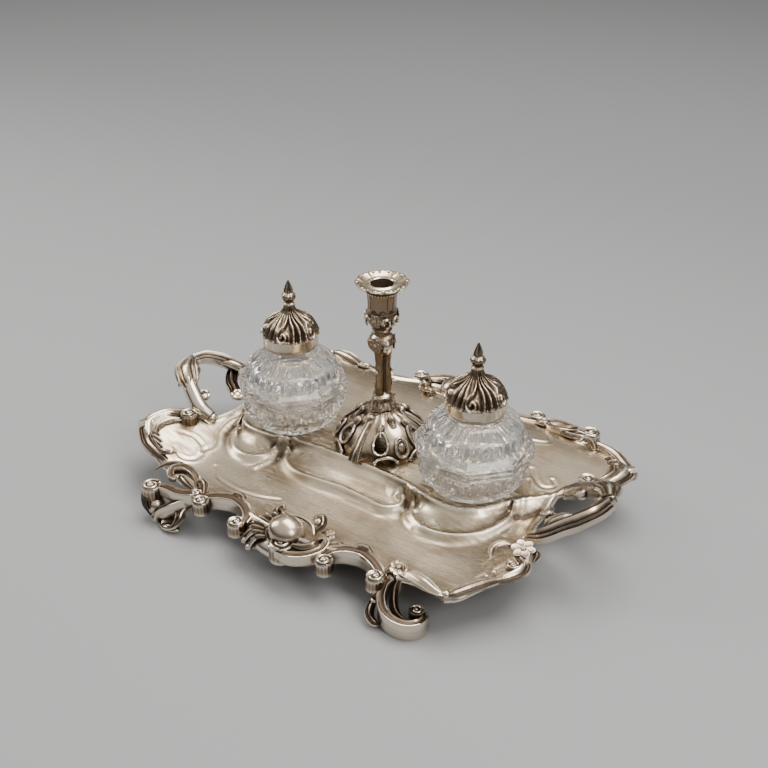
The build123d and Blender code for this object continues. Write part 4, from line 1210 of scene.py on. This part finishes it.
# %% Rolled leaves on two corners
def rolled_leaf(name, node, place):
    """Drawn for the back right corner, where the rim flares highest."""
    made = Casting()
    made.bar([(119, 31, 28.4), (129, 35.5, 30.2), (137, 43, 31.2), (140.5, 52, 31.2), (141, 60, 30.6)],
             outline_leaf(8.6, 5.2), (0.6, 1.0, 1.05, 1.0, 0.8), steps=9)
    made.bar([(141, 60, 29.0), (134, 66.5, 29.6), (123.5, 74.5, 29.8), (113, 78.5, 29.0), (104, 80, 27.4)],
             outline_leaf(9.0, 5.0), (0.8, 1.0, 1.05, 0.9, 0.5), steps=9)
    roll = lathe(fine([(0, -5.0), (3.0, -5.0), (4.3, -4.2), (4.8, 0), (4.3, 4.2), (3.0, 5.0), (0, 5.0)],
                      0.8), 40)
    carve(roll, lambda turn, radius, z: -0.3 * (radius > 3.6) * (np.cos(10 * turn) > 0.2))
    bmesh.ops.transform(roll, verts=roll.verts, matrix=Matrix.Translation((139.6, 59.5, 29.0))
                        @ Matrix.Rotation(radians(50), 4, "Z") @ Matrix.Rotation(radians(90), 4, "Y"))
    made.take(roll)
    made.volute((123.5, 37.2), 5.6, 22.8, 33.2, start=200, turns=1.5, ridge=0.9)
    made.bar([(125, 40, 29), (130.5, 47, 30.2), (132, 56, 30.4), (128, 64, 29.8)], outline_leaf(6.6, 3.0),
             (0.4, 1.0, 1.0, 0.4), steps=9)
    made.bar([(112, 74, 28.4), (108, 77.5, 31.0), (103, 77.0, 31.8), (101, 73.5, 30.6)],
             outline_leaf(5.6, 3.0), (0.6, 1, 0.9, 0.4), steps=8)
    for k in range(4):
        share = k / 3
        made.bar([(118 + 9 * share, 68 - 11 * share, 25.5), (124 + 8 * share, 70 - 11 * share, 29.6),
                  (129 + 8 * share, 74 - 12 * share, 29.0)], outline_leaf(4.6, 2.4), (0.4, 1.0, 0.6),
                 steps=7)
    made.finish(name, "stand", [node], place, rounds=8)


rolled_leaf("back_right_rolled_leaf", "back_right_leaf", STILL)
rolled_leaf("front_left_rolled_leaf", "front_left_leaf", HALF_TURN)

# %% Flowers with a leaf, on the other corners
def flower_spray(name, node, place):
    made = Casting()
    made.flower((119.5, -38.2, 28.2), 6.6, 6, lean=8, turn=15)
    made.bar([(117.5, -42, 25.8), (124.2, -46.5, 26.6), (126.2, -53, 26.4), (122.5, -60.5, 25.8),
              (117.5, -66.5, 25.4)], outline_leaf(8.0, 4.6), (0.6, 1.0, 1.05, 0.95, 0.6), steps=9)
    made.bar([(118.5, -65, 25.2), (114, -72.5, 26.0), (109.5, -80.0, 26.2), (105.0, -87.5, 26.0),
              (101.5, -91.5, 25.4)], outline_leaf(7.6, 4.4), (0.7, 1.0, 1.0, 0.8, 0.3), steps=9)
    made.volute((120.0, -52.0), 3.8, 21.5, 28.2, start=0, turns=-1.4, ridge=0.75)
    made.bar([(114, -36, 26), (108, -39, 28.0), (104.5, -45, 27.6), (106, -50, 25.4)],
             outline_leaf(5.6, 2.6), (0.6, 1, 0.9, 0.3), steps=8)
    made.bar([(123, -34, 26.4), (127.6, -37.6, 27.6), (128.4, -43, 27.0)], outline_leaf(5.0, 2.8),
             (0.5, 1, 0.5), steps=8)
    for k in range(5):
        made.ball((113.5 - 1.9 * k, -60 - 5.0 * k, 25.0 - 0.4 * k), (1.5 - 0.13 * k, 1.5 - 0.13 * k, 1.2),
                  detail=10)
    made.finish(name, "stand", [node], place, rounds=8)


flower_spray("front_right_flower_spray", "front_right_flower", STILL)
flower_spray("back_left_flower_spray", "back_left_flower", HALF_TURN)

# %% Handles
def scroll_handle(name, node, place):
    """Drawn for the right end, on a plane that leans up and out from the rim; (u, v, w) are
    out, across and off that plane."""
    lean = radians(31)
    made = Casting()
    origin = Vector((114.0, 0, 25.0))
    out, across, off = Vector((cos(lean), 0, sin(lean))), Vector((0, 1, 0)), Vector((-sin(lean), 0,
            cos(lean)))

    def at(u, v, w=0.0):
        return tuple(origin + out * u + across * v + off * w)

    made.bar([at(2.5, -25), at(12, -26, 0.6), at(22, -21.6, 1.0), at(31, -16.6, 1.0), at(39, -8.5, 0.8),
              at(42.5, 1.5, 0.4)], outline_leaf(12.0, 9.6), (0.8, 1.0, 1.05, 1.1, 1.0, 0.85), steps=9)
    made.wire([at(2.5, 25), at(11, 26.0), at(20, 23.0, 0.5), at(29.5, 18.5, 0.8), at(36, 13.6, 0.8),
               at(38.4, 8.2, 0.6), at(35.5, 5.4, 0.6), at(32.5, 7.6, 0.6)], 5.4,
              (0.8, 1.0, 1.0, 0.95, 0.85, 0.7, 0.55, 0.4), sides=20)
    made.bar([at(24, 23.5, 3), at(31, 19.5, 4.2), at(38.5, 13.5, 4.0), at(43.0, 5.0, 3.0)],
             outline_leaf(15.0, 5.6), (0.4, 1.0, 1.1, 0.6), steps=9)
    for k in range(6):
        share = k / 5
        made.bar([at(40.5 - 12 * share, 3 + 16 * share, 2.6), at(43.6 - 11 * share, 5 + 18 * share, 1.6),
                  at(44.4 - 12 * share, 6.5 + 18 * share, -1.6)], outline_leaf(4.8, 3.4), (0.6, 1.0, 0.5),
                 steps=6)
    made.bar([at(3.5, -2.2, -0.5), at(8.2, -5.6), at(13.6, -8.2), at(18.6, -14), at(20.8, -20)],
             outline_leaf(9.0, 7.6), (0.6, 0.95, 1.0, 1.0, 0.9), steps=9)
    roll = [at(4.4 + r * cos(a), -2.6 + r * sin(a), 2.6)
            for a, r in ((radians(60 + 42 * k), 4.4 - 0.34 * k) for k in range(11))]
    made.wire(roll, 1.7, (0.9, 1, 0.9, 0.7), steps=4)
    made.ball(at(4.4, -2.6, 1.4), (4.0, 4.0, 2.6), detail=18)
    end = [at(16.0 + r * cos(a), 17.6 + r * sin(a), 2.4)
           for a, r in ((radians(100 - 42 * k), 4.2 - 0.34 * k) for k in range(10))]
    made.wire(end, 1.6, (1, 1, 0.8, 0.6), steps=4)
    made.ball(at(16.0, 17.8, 0.8), (3.8, 3.8, 2.6), detail=18)
    made.bar([at(14, -24, 2), at(18, -20, 4.4), at(24, -16.5, 4.6), at(29, -12, 3.0)],
             outline_leaf(9.6, 4.4), (0.4, 1.0, 1.0, 0.3), steps=9)
    made.ball(at(1.6, -24.6, -0.4), (4.0, 4.2, 3.2), detail=16)
    made.ball(at(1.6, 24.6, -0.4), (4.0, 4.2, 3.2), detail=16)
    made.finish(name, "stand", [node], place, rounds=8)


scroll_handle("right_scroll_handle", "right_handle", STILL)
scroll_handle("left_scroll_handle", "left_handle", HALF_TURN)

# %% [markdown]
# ## Table and light
# The table is one plain pale grey sheet, with painted shade that makes it a little darker
# towards the back. A wide lamp above and behind the object draws the long bright streaks on
# the silver, softer ones fill from the left and the right, and surroundings that are dark near
# the table leave the recesses dark, because metal shows only what it mirrors.

# %% Table
table_mesh = bmesh.new()
bmesh.ops.create_grid(table_mesh, x_segments=1, y_segments=1, size=40.0)
table_data = bpy.data.meshes.new("table")
table_mesh.to_mesh(table_data)
table_mesh.free()
table_finish, table_shader, table_start = new_material("table")
grain = table_start.node("ShaderNodeTexCoord", output=OBJECT).noise(900.0, 2.0)
away = table_start.node("ShaderNodeSeparateXYZ", None,
                        {0: table_start.node("ShaderNodeTexCoord", output=OBJECT)}, 1)
near = grain.mix((0.298, 0.306, 0.318, 1), (0.318, 0.326, 0.338, 1))
# Painted shade: the base colour darkens towards the back in place of light falloff.
feed(away.step(-0.15, 0.7).mix(near, (0.20, 0.206, 0.216, 1)), table_shader, "Base Color")
table_shader.inputs["Roughness"].default_value = 0.75
table_shader.inputs["Specular IOR Level"].default_value = 0.25
table_data.materials.append(table_finish)
table = bpy.data.objects.new("table", table_data)
bpy.context.collection.objects.link(table)

# %% Lights
def softbox(name, place, aim, size, power, colour):
    lamp = bpy.data.lights.new(name, "AREA")
    lamp.shape, lamp.size, lamp.size_y = "RECTANGLE", size[0], size[1]
    lamp.energy, lamp.color = power, colour
    holder = bpy.data.objects.new(name, lamp)
    holder.location = place
    holder.rotation_euler = (Vector(place) - Vector(aim)).to_track_quat("Z", "Y").to_euler()
    bpy.context.collection.objects.link(holder)


softbox("top", (0.1, 0.45, 1.4), (0, 0, 0), (1.5, 0.8), 32, (1.0, 0.965, 0.92))
softbox("left", (-1.4, -0.2, 0.9), (0, 0, 0.05), (0.6, 0.9), 12, (1.0, 0.95, 0.90))
softbox("right", (1.3, -0.4, 1.1), (0, 0, 0.05), (0.5, 0.7), 10, (1.0, 0.96, 0.92))

# %% Surroundings: a white ceiling that darkens to the horizon
world = bpy.data.worlds.new("room")
world.use_nodes = True
sky = Term(world.node_tree)
height = sky.node("ShaderNodeSeparateXYZ", None, {0: sky.node("ShaderNodeTexCoord")}, 2)
ceiling = height.step(0.08, 0.8).mix((0.04, 0.037, 0.034, 1), (1.0, 0.96, 0.91, 1))
background = world.node_tree.nodes["Background"]
world.node_tree.links.new(ceiling.socket, background.inputs["Color"])
background.inputs["Strength"].default_value = 0.78
bpy.context.scene.world = world
